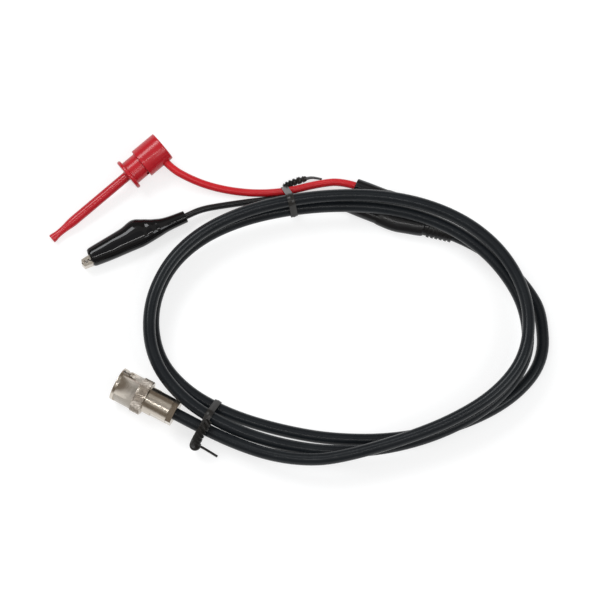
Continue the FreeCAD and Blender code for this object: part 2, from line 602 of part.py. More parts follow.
def clip_lower_jaw():
    """Fixed jaw: a channel with teeth, two ears for the pin and a crimp for the lead."""
    body = new_body("clip_lower_jaw")
    sketch = new_sketch(body, "XY_Plane")
    edge = "-jaw_gap"
    add_outline(sketch, [
        (0, edge), ("jaw_length + 1", edge), ("pivot_x - 2.2", "pivot_y + 1.3"),
        ("pivot_x", "pivot_y + 1.8"), ("pivot_x + 2.2", "pivot_y + 1.3"), ("pivot_x + 5.5", -0.4),
        ("crimp_start + 1", -0.9), ("crimp_start + 1", "-black_diameter / 2 - crimp_wall"),
        ("pivot_x + 6", "-jaw_floor - 0.3"), ("pivot_x - 3", "-jaw_floor"), (0.5, "-jaw_tip")])
    raised(body, sketch, "2 * jaw_half_width", both=True)
    sketch = new_sketch(body, "XY_Plane")
    add_outline(sketch, [
        ("sheet", "-jaw_tip + sheet"), ("pivot_x - 3", "-jaw_floor + sheet"),
        ("pivot_x + 6", "-jaw_floor - 0.3 + sheet"),
        ("crimp_start + 2", "-black_diameter / 2"), ("crimp_start + 2", "pivot_y + 3"),
        ("sheet", "pivot_y + 3")])
    sunk(body, sketch, "2 * (jaw_half_width - sheet)", both=True)
    sketch = new_sketch(body, "YZ_Plane", "crimp_start")
    add_circle(sketch, 0, 0, "black_diameter / 2 + crimp_wall")
    raised(body, sketch, "crimp_end - crimp_start")
    sketch = new_sketch(body, "YZ_Plane", "crimp_start - 1")
    add_circle(sketch, 0, 0, "black_diameter / 2 + seat_gap")
    sunk(body, sketch, "crimp_end - crimp_start + 2", back=True)
    sketch = new_sketch(body, "XY_Plane")
    add_circle(sketch, "pivot_x", "pivot_y", "pivot_radius + seat_gap")
    sunk(body, sketch, "4 * jaw_half_width", both=True)
    teeth(body, edge, "-jaw_gap - tooth_depth", 1.2)


def teeth(body, edge, root, start):
    """Row of V notches across both walls of a jaw."""
    sketch = new_sketch(body, "XY_Plane")
    add_outline(sketch, [
        (start, edge), ("%s + tooth_pitch / 2" % start, root), ("%s + tooth_pitch" % start, edge)])
    notch = sunk(body, sketch, "4 * jaw_half_width", both=True)
    patterned(body, notch, "LinearPattern", "tooth_count", "X_Axis", "tooth_pitch * (tooth_count - 1)")


def clip_lever_jaw():
    """Moving jaw: toothed channel in front, narrower ears and a thumb lever behind."""
    body = new_body("clip_lever_jaw")
    inner = "(jaw_half_width - sheet - lever_clearance)"
    sketch = new_sketch(body, "XY_Plane")
    add_outline(sketch, [
        (0, "jaw_gap"), ("jaw_length", "jaw_gap"), ("jaw_length", 3.3), (0.5, "jaw_tip")])
    raised(body, sketch, "2 * jaw_half_width", both=True)
    sketch = new_sketch(body, "XY_Plane")
    add_outline(sketch, [
        ("jaw_length - 1", "jaw_gap"), ("pivot_x - 2.5", 0), ("pivot_x - 1.5", "pivot_y - 1.9"),
        ("pivot_x + 1.5", "pivot_y - 1.9"), ("pivot_x + 2.4", "pivot_y + 1.5"),
        ("pivot_x + 7.2", 6.3), ("pivot_x + 7.0", 7.0), ("pivot_x + 6.2", 7.1),
        ("pivot_x + 1", "lever_roof"), ("jaw_length - 1", 3.2)])
    raised(body, sketch, "2 * " + inner, both=True)
    sketch = new_sketch(body, "XY_Plane")
    add_outline(sketch, [
        ("sheet", "jaw_gap - 1"), ("jaw_length - sheet", "jaw_gap - 1"),
        ("jaw_length - sheet", "3.3 - sheet"), ("sheet", "jaw_tip - sheet")])
    sunk(body, sketch, "2 * (%s - sheet)" % inner, both=True)
    sketch = new_sketch(body, "XY_Plane")
    add_outline(sketch, [
        ("jaw_length - 1.2", -3), ("pivot_x + 10", -3), ("pivot_x + 10", "7.2 - sheet"),
        ("pivot_x + 6", "7.0 - sheet"), ("pivot_x + 1", "lever_roof - sheet"), ("jaw_length - 1.2", "3.2 - sheet")])
    sunk(body, sketch, "2 * (%s - sheet)" % inner, both=True)
    sketch = new_sketch(body, "XY_Plane")
    add_circle(sketch, "pivot_x", "pivot_y", "pivot_radius + seat_gap")
    sunk(body, sketch, "4 * jaw_half_width", both=True)
    teeth(body, "jaw_gap", "jaw_gap + tooth_depth", 0.6)


def clip_pivot_pin():
    body = new_body("clip_pivot_pin")
    sketch = new_sketch(body, "XY_Plane")
    add_circle(sketch, "pivot_x", "pivot_y", "pivot_radius")
    raised(body, sketch, "2 * (jaw_half_width + sheet)", both=True)
    for back in (False, True):
        sign = "-" if back else ""
        sketch = new_sketch(body, "XY_Plane", "%s(jaw_half_width + seat_gap)" % sign)
        add_circle(sketch, "pivot_x", "pivot_y", "pivot_head")
        raised(body, sketch, "sheet", back=back)


def clip_boot():
    """Soft boot: oval sections lofted over the jaws, drawn down to a sleeve on the lead."""
    body = new_body("clip_boot")
    # x, middle y, half width (y), half height (z) and corner radius of each section
    outside = [
        ("boot_start", 1.2, 3.9, 3.7, 1.8), (12.0, 1.3, 4.6, 3.95, 2.2), (20.0, 1.6, 5.2, 3.95, 2.2),
        (26.0, 2.1, 5.9, 3.9, 2.2), (33.0, 0.9, 4.0, 3.5, 2.4), ("crimp_end - 1", 0.4, 2.95, 2.85, 2.3),
        ("boot_end", 0.0, 2.45, 2.45, 2.2)]
    inside = [
        (x, middle, "%s - boot_wall" % half_width, "%s - boot_wall" % half_height, "%s - boot_wall" % corner)
        for x, middle, half_width, half_height, corner in outside[:5]]
    fit = "black_diameter / 2 + crimp_wall + 2 * cable_clearance"
    inside.append(("crimp_end + seat_gap", 0.0, fit, fit, "0.9 * (%s)" % fit))
    inside[0] = ("boot_start - 0.01",) + inside[0][1:]
    for kind, sections in (("AdditiveLoft", outside), ("SubtractiveLoft", inside)):
        made = []
        for x, middle, half_width, half_height, corner in sections:
            sketch = new_sketch(body, "YZ_Plane", x)
            add_rounded(sketch, middle, half_width, half_height, corner)
            made.append(sketch)
        feature = body.newObject("PartDesign::" + kind, kind)
        feature.Profile = made[0]
        feature.Sections = made[1:]
        feature.Ruled = True
        doc.recompute()
    sketch = new_sketch(body, "YZ_Plane", "crimp_end")
    add_circle(sketch, 0, 0, "black_diameter / 2 + cable_clearance")
    sunk(body, sketch, "boot_end - crimp_end + 1", back=True)


# Routes: a wound tube on pairs of tangent arcs, and a lead on straight runs with arcs


def tangent_arc(start, direction, end):
    """Arc from start to end that leaves along direction; returns its edge and its radius."""
    chord = end - start
    side = chord - direction * chord.dot(direction)
    if side.Length < 1e-7:
        return Part.LineSegment(start, end).toShape(), float("inf")
    radius = chord.Length ** 2 / (2 * side.Length)
    centre = start + side.normalize() * radius
    middle = (start + end) / 2 - centre
    through = centre + middle.normalize() * radius
    return Part.Arc(start, through, end).toShape(), radius


def arc_pair(start, start_direction, end, end_direction):
    """Two arcs that join two points along two directions, with their radii."""
    chord = end - start
    total = start_direction + end_direction
    a = 2 * (start_direction.dot(end_direction) - 1)
    b = -2 * chord.dot(total)
    c = chord.dot(chord)
    if abs(a) < 1e-9:
        reach = -c / b
    else:
        reach = (-b - math.sqrt(b * b - 4 * a * c)) / (2 * a)
        if reach < 0:
            reach = (-b + math.sqrt(b * b - 4 * a * c)) / (2 * a)
    near = start + start_direction * reach
    far = end - end_direction * reach
    middle = (near + far) / 2
    onward = (far - near).normalize()
    first = tangent_arc(start, start_direction, middle)
    second = tangent_arc(middle, onward, end)
    return [first[0], second[0]], [first[1], second[1]]


def wound_route(stations, lead_in, lead_out):
    """Wire through (point, direction) stations, with a straight run before and after."""
    radii = []
    first, direction = stations[0]
    edges = [Part.LineSegment(first - direction * lead_in, first).toShape()]
    for (start, start_direction), (end, end_direction) in zip(stations, stations[1:]):
        arcs, pair = arc_pair(start, start_direction, end, end_direction)
        edges += arcs
        radii += pair
    last, direction = stations[-1]
    edges.append(Part.LineSegment(last, last + direction * lead_out).toShape())
    return Part.Wire(edges), radii


def bent_route(points, lead_in=0.0):
    """Straight runs through the points, joined by arcs as large as the runs allow.

    The first run is lengthened backwards by lead_in, which is the straight part inside a sleeve.
    """
    edges = []
    radii = []
    here = points[0] - (points[1] - points[0]).normalize() * lead_in
    for before, corner, after in zip(points, points[1:], points[2:]):
        arriving = (corner - before).normalize()
        leaving = (after - corner).normalize()
        turn = math.acos(max(-1.0, min(1.0, arriving.dot(leaving))))
        setback = 0.45 * min((corner - before).Length, (after - corner).Length)
        radii.append(setback / math.tan(turn / 2))
        start = corner - arriving * setback
        end = corner + leaving * setback
        edges.append(Part.LineSegment(here, start).toShape())
        edges.append(tangent_arc(start, arriving, end)[0])
        here = end
    edges.append(Part.LineSegment(here, points[-1]).toShape())
    return Part.Wire(edges), radii


def tube(route, diameter, sides):
    """Many-sided tube along a route, checked against its section times its length."""
    start = route.Vertexes[0].Point
    first = route.Edges[0]
    direction = first.tangentAt(first.FirstParameter)
    across = direction.cross(UP).normalize()
    upward = across.cross(direction)
    corners = []
    for number in range(sides + 1):
        angle = 2 * math.pi * (number % sides + 0.5) / sides
        corners.append(start + (across * math.cos(angle) + upward * math.sin(angle)) * (diameter / 2))
    solid = route.makePipeShell([Part.makePolygon(corners)], True, False)
    wanted = sides * math.sin(2 * math.pi / sides) * diameter ** 2 / 8 * route.Length
    if abs(solid.Volume - wanted) > 0.01 * wanted:
        raise ValueError("a tube's volume is %.2f, not %.2f" % (solid.Volume, wanted))
    return solid


def least_gap(route, diameter, apart):
    """Least gap of a tube to itself, between places further apart along it than apart."""
    count = int(route.Length / (diameter / 2))
    points = route.discretize(Number=count)
    step = route.Length / (count - 1)
    skip = int(apart / step) + 1
    least = min(
        (points[i] - points[j]).Length for i in range(count) for j in range(i + skip, count))
    return least - diameter


def level(heading):
    return Vector(math.cos(math.radians(heading)), math.sin(math.radians(heading)), 0)


def laid(x, y, z, heading, pitch=0.0):
    """Placement of a local frame whose X axis points along heading and rises by pitch."""
    turn = Rotation(UP, heading) * Rotation(Vector(0, 1, 0), -pitch)
    return Placement(Vector(x, y, z), turn)


PLUG_FRAME = laid(size("plug_front_x"), size("plug_front_y"), size("knurl_radius"), size("plug_heading"))
SPLITTER_FRAME = laid(
    size("splitter_tail_x"), size("splitter_tail_y"), size("body_height"), size("splitter_heading"))
# The grabber rests on its nose tip and on its thumb flange
FLANGE_REST = size("thumb_flange_x + thumb_flange_length / 2")
NOSE_DOWN = math.degrees(math.atan2(size("thumb_flange_radius - nose_tip_radius"), FLANGE_REST))
GRABBER_FRAME = laid(
    size("grabber_tip_x"), size("grabber_tip_y"),
    size("nose_tip_radius") * math.cos(math.radians(NOSE_DOWN)), size("grabber_heading"), NOSE_DOWN)
CLIP_FRAME = laid(
    size("clip_tip_x"), size("clip_tip_y"), size("clip_height"), size("clip_heading"))

# The coil, seen from above: middle, and at every quarter turn the reach from it, the lean of the
# cable towards the middle and the height of its centre line
COIL_MIDDLE = Vector(13.6, -7, 0)
COIL_REACH = [60, 77, 45.5, 72.5, 56, 76, 42.5, 71.5, 50.5, 80.5]
COIL_LEAN = [-10, -12, -2, 7, 8, -21.5, 0.5, 6.5, 5.5, -20.5]
COIL_HEIGHT = [12.2, 16.8, 14.6, 12.2, 7.0, 11.1, 9.6, 4.3, 3.3, 3.2]
QUARTER = 95.0


def coil_stations():
    """Quarter-turn stations from the plug's back to the splitter's tail."""
    exit_point = PLUG_FRAME.multVec(Vector(size(PLUG_END), 0, 0))
    entry = SPLITTER_FRAME.multVec(Vector(0, 0, 0))
    heights = [exit_point.z] + COIL_HEIGHT + [entry.z]
    stations = [(exit_point, level(size("plug_heading")))]
    for number, (reach, lean) in enumerate(zip(COIL_REACH, COIL_LEAN)):
        outward = level(90 * number - 90)
        along = level(90 * number) + outward * math.tan(math.radians(lean))
        climb = (heights[number + 2] - heights[number]) / (2 * QUARTER)
        direction = (along.normalize() + UP * climb).normalize()
        stations.append((COIL_MIDDLE + outward * reach + UP * COIL_HEIGHT[number], direction))
    stations.append((entry, level(size("splitter_heading"))))
    return stations


def cable():
    lead_in = size("%s - %s - seat_gap" % (PLUG_END, JACKET_START))
    route, radii = wound_route(coil_stations(), lead_in, size("jacket_entry"))
    diameter = size("coax_diameter")
    print("coax: length %.0f mm, least radius %.1f mm, least gap %.2f mm" % (
        route.Length, min(radii), least_gap(route, diameter, 40)))
    solid_node("coax_cable", tube(route, diameter, int(size("coax_sides"))))
    return route


def leads():
    """The red lead from the cap to the far arm, the black one from the crimp to the near arm."""
    red = size("red_diameter") / 2
    black = size("black_diameter") / 2
    spacing = size("arm_spacing")
    mouth = size("arm_end")
    seat = size("arm_end - lead_entry + seat_gap")
    notch = size("cap_notch_x")

    def at(frame, x, y):
        return frame.multVec(Vector(x, y, 0))

    # Each tie passes under the leads, so they stand off the ground there
    lift = size("upper_tie_gap + tie_thickness + 3 * seat_gap")
    red_points = [
        at(GRABBER_FRAME, notch, -size("ferrule_radius + seat_gap")), at(GRABBER_FRAME, notch, -9),
        Vector(-44, 48.5, 5.4), Vector(-36, 46.0, red + 1.2), Vector(-26, 44.1, red),
        Vector(-15, 43.2, red + 0.2), Vector(-3.5, 44.0, red + lift), Vector(7, 46.9, red + lift),
        at(SPLITTER_FRAME, mouth + 5, -spacing), at(SPLITTER_FRAME, seat, -spacing)]
    black_points = [
        at(CLIP_FRAME, size("boot_end"), 0), at(CLIP_FRAME, size("boot_end + 6.7"), 0),
        Vector(-31.5, 38.0, black + 1.0), Vector(-18, 40.2, black + 0.1),
        Vector(-6, 41.1, black + lift), Vector(3.2, 41.6, black + lift + 0.1),
        at(SPLITTER_FRAME, mouth + 5, spacing), at(SPLITTER_FRAME, seat, spacing)]
    routes = {}
    for name, points, text, lead_in in (
            ("red_lead", red_points, "red_diameter", 0.0),
            ("black_lead", black_points, "black_diameter", size("boot_end - crimp_start"))):
        route, radii = bent_route(points, lead_in)
        print("%s: length %.0f mm, radii %s" % (
            name, route.Length, " ".join("%.1f" % radius for radius in radii)))
        print("   runs %s" % " ".join(
            "%.1f" % (after - before).Length for before, after in zip(points, points[1:])))
        solid_node(name, tube(route, size(text), int(size("lead_sides"))))
        routes[name] = route
    return routes


def hook():
    """Hook wire of the grabber: straight from the ferrule to a small return bend in the nose."""
    bend = size("hook_bend")
    tip = 0.4 + bend + size("hook_wire") / 2
    outward, back = Vector(0, 0, 1), Vector(-1, 0, 0)
    rear = Vector(size("cap_notch_x - seat_gap"), 0, 0)
    corner = Vector(tip, 0, 0)
    apex = corner + back * bend + outward * bend
    turned_back = corner + outward * 2 * bend
    edges = [
        Part.LineSegment(rear, corner).toShape(),
        Part.Arc(corner, apex, turned_back).toShape(),
        Part.LineSegment(turned_back, turned_back - back * size("hook_return")).toShape()]
    solid_node("grabber_hook", tube(Part.Wire(edges), size("hook_wire"), int(size("wire_sides"))))


def coil_spring(radius, start, rise, turns, first_angle=0.0):
    """Quarter-turn stations of a spring about the local X axis."""
    count = int(round(4 * turns))
    slope = rise / (turns * 2 * math.pi * radius)
    stations = []
    for number in range(count + 1):
        angle = first_angle + math.pi / 2 * number
        place = Vector(start + rise * number / count, radius * math.cos(angle), radius * math.sin(angle))
        direction = Vector(slope, -math.sin(angle), math.cos(angle)).normalize()
        stations.append((place, direction))
    return stations


def springs():
    wire = size("return_wire")
    start = size("thumb_flange_x + thumb_flange_length + 1 + seat_gap") + wire / 2
    end = size("ferrule_front - seat_gap") - wire / 2
    stations = coil_spring(size("return_radius"), start, end - start, size("return_turns"))
    route, radii = wound_route(stations, 0.5 * wire, 0.5 * wire)
    print("return spring: least gap %.2f mm" % least_gap(route, wire, 12))
    solid_node("grabber_spring", tube(route, wire, int(size("wire_sides"))))
    # Torsion spring about the pivot pin: its legs press on the lever and on the fixed jaw's floor
    wire = size("torsion_wire")
    turns = size("torsion_turns")
    rise = turns * size("torsion_pitch")
    wound = coil_spring(size("torsion_radius"), -rise / 2, rise, turns, -math.pi / 2)
    upright = Placement(Vector(size("pivot_x"), size("pivot_y"), 0), Rotation(Vector(1, 0, 0), UP))
    turned_stations = [
        (upright.multVec(place), upright.Rotation.multVec(direction)) for place, direction in wound]
    route, radii = wound_route(
        turned_stations, size("jaw_floor - sheet + pivot_y"), size("lever_roof - sheet - pivot_y"))
    print("torsion spring: least gap %.2f mm" % least_gap(route, wire, 6))
    solid_node("clip_torsion_spring", tube(route, wire, int(size("wire_sides"))))


# Twist ties


def crossings(route, origin, heading):
    """Where a route crosses the upright plane through origin, as (across, height) near origin."""
    normal = level(heading)
    across = level(heading + 90)
    points = route.discretize(Number=int(route.Length))
    found = []
    for before, after in zip(points, points[1:]):
        a = (before - origin).dot(normal)
        b = (after - origin).dot(normal)
        if a * b > 0 or a == b:
            continue
        place = before + (after - before) * (a / (a - b))
        sideways = (place - origin).dot(across)
        if abs(sideways) < 15:
            found.append((sideways, place.z))
    return found


def band_wire(circles, grow, origin, across):
    """Closed line at a distance round circles (across, height, radius), in the upright plane."""
    def support(angle):
        return max(circles, key=lambda c: c[0] * math.cos(angle) + c[1] * math.sin(angle) + c[2])

    order = []
    for step in range(720):
        circle = support(math.radians(step / 2))
        if not order or order[-1] is not circle:
            order.append(circle)
    if len(order) > 1 and order[0] is order[-1]:
        order.pop()

    def switch(one, other):
        gap = math.hypot(other[0] - one[0], other[1] - one[1])
        base = math.atan2(other[1] - one[1], other[0] - one[0])
        return base - math.acos((one[2] - other[2]) / gap)

    def place(circle, angle):
        reach = circle[2] + grow
        return origin + across * (circle[0] + reach * math.cos(angle)) + UP * (
            circle[1] + reach * math.sin(angle))

    edges = []
    for number, circle in enumerate(order):
        begin = switch(order[number - 1], circle)
        stop = switch(circle, order[(number + 1) % len(order)])
        while stop <= begin:
            stop += 2 * math.pi
        while stop - begin > 2 * math.pi:
            stop -= 2 * math.pi
        edges.append(Part.Arc(
            place(circle, begin), place(circle, (begin + stop) / 2), place(circle, stop)).toShape())
        following = order[(number + 1) % len(order)]
        edges.append(Part.LineSegment(place(circle, stop), place(following, stop)).toShape())
    return Part.Wire(edges)


def twisted_tails(start, end, tip, width, thickness, turns):
    """Ends of the tie: twisted together from start to end, then lying flat to the tip."""
    axis = (end - start).normalize()
    side = axis.cross(UP).normalize()
    upward = side.cross(axis).normalize()
    sections = []
    steps = int(6 * turns)
    for number in range(steps + 1):
        angle = math.pi * 2 * turns * number / steps
        wide = (side * math.cos(angle) + upward * math.sin(angle)) * (width / 2)
        thick = (upward * math.cos(angle) - side * math.sin(angle)) * thickness
        middle = start + (end - start) * (number / steps)
        corners = [middle + wide + thick, middle - wide + thick, middle - wide - thick, middle + wide - thick]
        sections.append(Part.makePolygon(corners + corners[:1]))
    twisted = Part.makeLoft(sections, True, True)
    along = (tip - end).normalize()
    side = along.cross(UP).normalize() * (width / 2)
    upward = side.cross(along).normalize() * (thickness / 2)
    begin = end - along * thickness
    corners = [begin + side + upward, begin - side + upward, begin - side - upward, begin + side - upward]
    tail = Part.Face(Part.makePolygon(corners + corners[:1])).extrude(tip - begin)
    return twisted.fuse(tail)


def tie(name, origin, heading, side, gap, cords, twist_end, tip):
    """Twist tie round all cords that cross the upright plane whose normal points along heading."""
    circles = []
    for route, radius in cords:
        circles += [(place[0], place[1], radius) for place in crossings(route, origin, heading)]
    print("%s: round %d cords" % (name, len(circles)))
    thickness = size("tie_thickness")
    width = size("tie_width")
    across = level(heading + 90)
    outer = band_wire(circles, gap + thickness, origin, across)
    inner = band_wire(circles, gap, origin, across)
    band = Part.Face(outer).cut(Part.Face(inner)).extrude(level(heading) * width)
    band.translate(level(heading) * (-width / 2))
    # The tails leave the band at its outermost cord on that side
    last = max(circles, key=lambda circle: side * circle[0] + circle[2])
    reach = side * (last[2] + gap + thickness / 2)
    start = origin + across * (last[0] + reach) + UP * last[1]
    tails = twisted_tails(start, twist_end, tip, width * 0.6, thickness * 0.6, 0.5)
    solid_node(name, band.fuse(tails))


def twist_ties(coax, lead_routes):
    coax_radius = size("coax_diameter") / 2
    low = size("tie_thickness") / 2
    tie("twist_tie_upper", Vector(-2.6, 38.0, 0), 23.7, 1, size("upper_tie_gap"),
        [(coax, coax_radius), (lead_routes["red_lead"], size("red_diameter") / 2),
         (lead_routes["black_lead"], size("black_diameter") / 2)],
        Vector(1.8, 50.0, 2.0), Vector(9.6, 48.9, low))
    tie("twist_tie_lower", Vector(-34.9, -48.5, 0), -27, -1, size("lower_tie_gap"),
        [(coax, coax_radius)], Vector(-40.6, -62.0, 2.0), Vector(-31.7, -64.6, low))


coupling_sleeve()
plug_body()
plug_insides()
clamp_nut()
wave_spring()
splitter_housing()
splices()
grabber_barrel()
grabber_cap()
grabber_ferrule()
hook()
clip_lower_jaw()
clip_lever_jaw()
clip_pivot_pin()
clip_boot()
springs()
coax_route = cable()
lead_routes = leads()
twist_ties(coax_route, lead_routes)
doc.recompute()

# Everything is laid in place, then moved so that the pieces on the cords stand over the origin
GRABBER_NODES = [
    "grabber_barrel", "grabber_cap", "grabber_ferrule", "grabber_hook", "grabber_spring"]
CLIP_NODES = ["clip_lower_jaw", "clip_lever_jaw", "clip_pivot_pin", "clip_boot", "clip_torsion_spring"]
FRAMES = (
    (PLUG_NODES, PLUG_FRAME), (SPLITTER_NODES, SPLITTER_FRAME), (GRABBER_NODES, GRABBER_FRAME),
    (CLIP_NODES, CLIP_FRAME))
for names, frame in FRAMES:
    for name in names:
        NODES[name].Placement = frame.multiply(NODES[name].Placement)
doc.recompute()

CORDS = ("coax_cable", "red_lead", "black_lead")
box = FreeCAD.BoundBox()
for name, node in NODES.items():
    if name not in CORDS:
        box.add(node.Shape.optimalBoundingBox(False))
shift = Vector(-(box.XMin + box.XMax) / 2, -(box.YMin + box.YMax) / 2, 0)
print("layout moved by %.4f, %.4f; lowest point %.3f" % (shift.x, shift.y, box.ZMin))
for node in NODES.values():
    node.Placement = Placement(shift, Rotation()).multiply(node.Placement)
doc.recompute()

for item in doc.Objects:
    if {"Invalid", "Error"} & set(item.State):
        raise ValueError("%s (%s) failed: %s" % (item.Name, item.Label, item.State))
os.makedirs("parts", exist_ok=True)
for name, node in NODES.items():
    shape = node.Shape
    if shape.isNull() or not shape.isValid() or len(shape.Solids) != 1:
        raise ValueError("%s is not one valid solid" % name)
for name, node in NODES.items():
    node.Shape.exportStep("parts/%s.step" % name)
print("%d nodes" % len(NODES))
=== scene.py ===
"""Studio picture of an oscilloscope probe lead: bayonet plug, coax, splitter, grabber and booted clip.

Sizes are in millimetres along each piece's own X axis, which is the axis it is turned or drawn about, and
every finished mesh is put into the frame of the whole object in metres.
"""

import json
import logging
import math
from collections.abc import Sequence
from dataclasses import dataclass
from enum import Enum

import bmesh
import bpy
from mathutils import Matrix, Vector

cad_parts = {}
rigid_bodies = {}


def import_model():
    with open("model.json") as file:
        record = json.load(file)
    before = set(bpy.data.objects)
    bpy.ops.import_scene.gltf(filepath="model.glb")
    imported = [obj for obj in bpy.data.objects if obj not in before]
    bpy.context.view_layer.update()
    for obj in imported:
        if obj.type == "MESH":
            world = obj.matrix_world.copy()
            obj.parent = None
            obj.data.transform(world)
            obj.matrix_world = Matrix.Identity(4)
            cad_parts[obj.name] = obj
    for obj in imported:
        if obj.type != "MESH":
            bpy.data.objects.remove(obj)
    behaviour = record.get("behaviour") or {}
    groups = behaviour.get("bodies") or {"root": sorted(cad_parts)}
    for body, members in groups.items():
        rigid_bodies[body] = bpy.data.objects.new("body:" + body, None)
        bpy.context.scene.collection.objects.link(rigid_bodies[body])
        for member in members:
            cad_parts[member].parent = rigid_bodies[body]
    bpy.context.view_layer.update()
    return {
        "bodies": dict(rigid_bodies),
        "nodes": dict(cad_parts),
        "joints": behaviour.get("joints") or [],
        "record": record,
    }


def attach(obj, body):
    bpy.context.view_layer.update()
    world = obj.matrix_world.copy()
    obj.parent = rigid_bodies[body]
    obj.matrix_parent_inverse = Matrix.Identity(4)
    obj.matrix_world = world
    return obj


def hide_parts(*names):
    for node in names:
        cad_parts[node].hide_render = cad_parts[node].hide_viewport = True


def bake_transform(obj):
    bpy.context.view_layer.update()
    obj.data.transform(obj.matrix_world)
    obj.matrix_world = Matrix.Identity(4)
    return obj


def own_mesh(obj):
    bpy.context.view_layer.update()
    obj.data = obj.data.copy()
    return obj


log = logging.getLogger("probe_lead")

MM = 0.001
SHIFT = Vector((18.6254, -0.2061, 0.0))
UP = Vector((0.0, 0.0, 1.0))
Corner = tuple[float, float, float]
# Where the splitter's two arms lie beside its middle, and where they end
ARM_SPACING = 4.4
ARM_END = 43.7
# Depth of the finishes' grain in metres, and the smoothest that rubbing makes them
GRAIN_DEPTH = 0.0002
LEAST_ROUGHNESS = 0.04
# Sockets of a Mix node that blends colours
MIX_FIRST, MIX_SECOND, MIX_RESULT = 6, 7, 2


@dataclass(frozen=True)
class LocalFrame:
    """Frame of one sub-assembly: where its X axis starts, where it points and how it rises."""

    x: float
    y: float
    z: float
    heading: float
    pitch: float = 0.0

    def matrix(self) -> Matrix:
        """Matrix from local millimetres to the object's metres."""
        turn = Matrix.Rotation(math.radians(self.heading), 4, "Z")
        tilt = Matrix.Rotation(math.radians(-self.pitch), 4, "Y")
        place = Matrix.Translation((Vector((self.x, self.y, self.z)) + SHIFT) * MM)
        return place @ turn @ tilt @ Matrix.Scale(MM, 4)

    def point(self, x: float, y: float = 0.0, z: float = 0.0) -> Vector:
        """Point of the whole object, in metres, of a local point in millimetres."""
        return self.matrix() @ Vector((x, y, z))

    def axis(self) -> Vector:
        """Unit vector along the local X axis."""
        return (self.matrix().to_3x3() @ Vector((1.0, 0.0, 0.0))).normalized()


PLUG = LocalFrame(-71.9, -36.2, 7.25, -28.3)
SPLITTER = LocalFrame(61.7, 25.7, 3.7, 158.0)
GRABBER = LocalFrame(-99.1, 24.3, 1.787, 39.7, 6.941)
CLIP = LocalFrame(-86.7, 13.0, 4.0, 26.0)


def level(heading: float) -> Vector:
    """Level unit vector along a heading in degrees."""
    return Vector((math.cos(math.radians(heading)), math.sin(math.radians(heading)), 0.0))


# Shader node groups and finishes


class Surface(Enum):
    """How a finish is made, which decides whether tool lines go round it."""

    MOULDED = "moulded"
    EXTRUDED = "extruded"
    TURNED = "turned"
    PRESSED = "pressed"


class ShaderSheet:
    """Small helper that adds and links the nodes of one node tree."""

    def __init__(self, tree: bpy.types.NodeTree) -> None:
        """Start a sheet on a tree.

        Args:
            tree: the shader, geometry or group tree that the nodes go into.
        """
        self.tree = tree
        self.column = 0

    def add(self, kind: str, feeds: dict | None = None, **settings: object) -> bpy.types.Node:
        """Add a node.

        Args:
            kind: the node's type name.
            feeds: what goes into each input, by its name or number: an output to link, or a value.
            **settings: attributes to set on it.

        Returns:
            The new node.
        """
        node = self.tree.nodes.new(kind)
        node.location = (self.column * 180, 0)
        self.column += 1
        for key, value in settings.items():
            setattr(node, key, value)
        for key, value in (feeds or {}).items():
            self.feed(node.inputs[key], value)
        return node

    def feed(self, target: bpy.types.NodeSocket, value: object) -> None:
        """Link an output to an input, or set a plain value on it."""
        if isinstance(value, bpy.types.NodeSocket):
            self.tree.links.new(value, target)
        else:
            target.default_value = value

    def math(self, operation: str, first: object, second: object = 0.0) -> bpy.types.NodeSocket:
        """Add a math node.

        Args:
            operation: the name of the operation.
            first: a socket or a number.
            second: a socket or a number, which some operations don't use.

        Returns:
            The node's output socket.
        """
        return self.add("ShaderNodeMath", {0: first, 1: second}, operation=operation).outputs[0]


def fresh_sheet(owner: bpy.types.Material | bpy.types.World) -> ShaderSheet:
    """Sheet on the emptied node tree of a material or of the world."""
    owner.use_nodes = True
    owner.node_tree.nodes.clear()
    return ShaderSheet(owner.node_tree)


def shown_rays(sheet: ShaderSheet) -> bpy.types.NodeSocket:
    """Add nodes that give 1 where camera, gloss or glass looks, and 0 where light is gathered."""
    rays = sheet.add("ShaderNodeLightPath").outputs
    seen = sheet.math("MAXIMUM", rays["Is Camera Ray"], rays["Is Glossy Ray"])
    return sheet.math("MAXIMUM", seen, rays["Is Transmission Ray"])


def new_group(name: str, inputs: Sequence[tuple[str, str, object]],
              outputs: Sequence[tuple[str, str]]) -> tuple[ShaderSheet, bpy.types.Node, bpy.types.Node]:
    """Make an empty shader node group.

    Args:
        name: the group's name.
        inputs: name, socket type and default of each input.
        outputs: name and socket type of each output.

    Returns:
        A sheet on the group, its input node and its output node.
    """
    tree = bpy.data.node_groups.new(name, "ShaderNodeTree")
    for label, kind, default in inputs:
        socket = tree.interface.new_socket(label, in_out="INPUT", socket_type=kind)
        if default is not None:
            socket.default_value = default
    for label, kind in outputs:
        tree.interface.new_socket(label, in_out="OUTPUT", socket_type=kind)
    sheet = ShaderSheet(tree)
    return sheet, sheet.add("NodeGroupInput"), sheet.add("NodeGroupOutput")


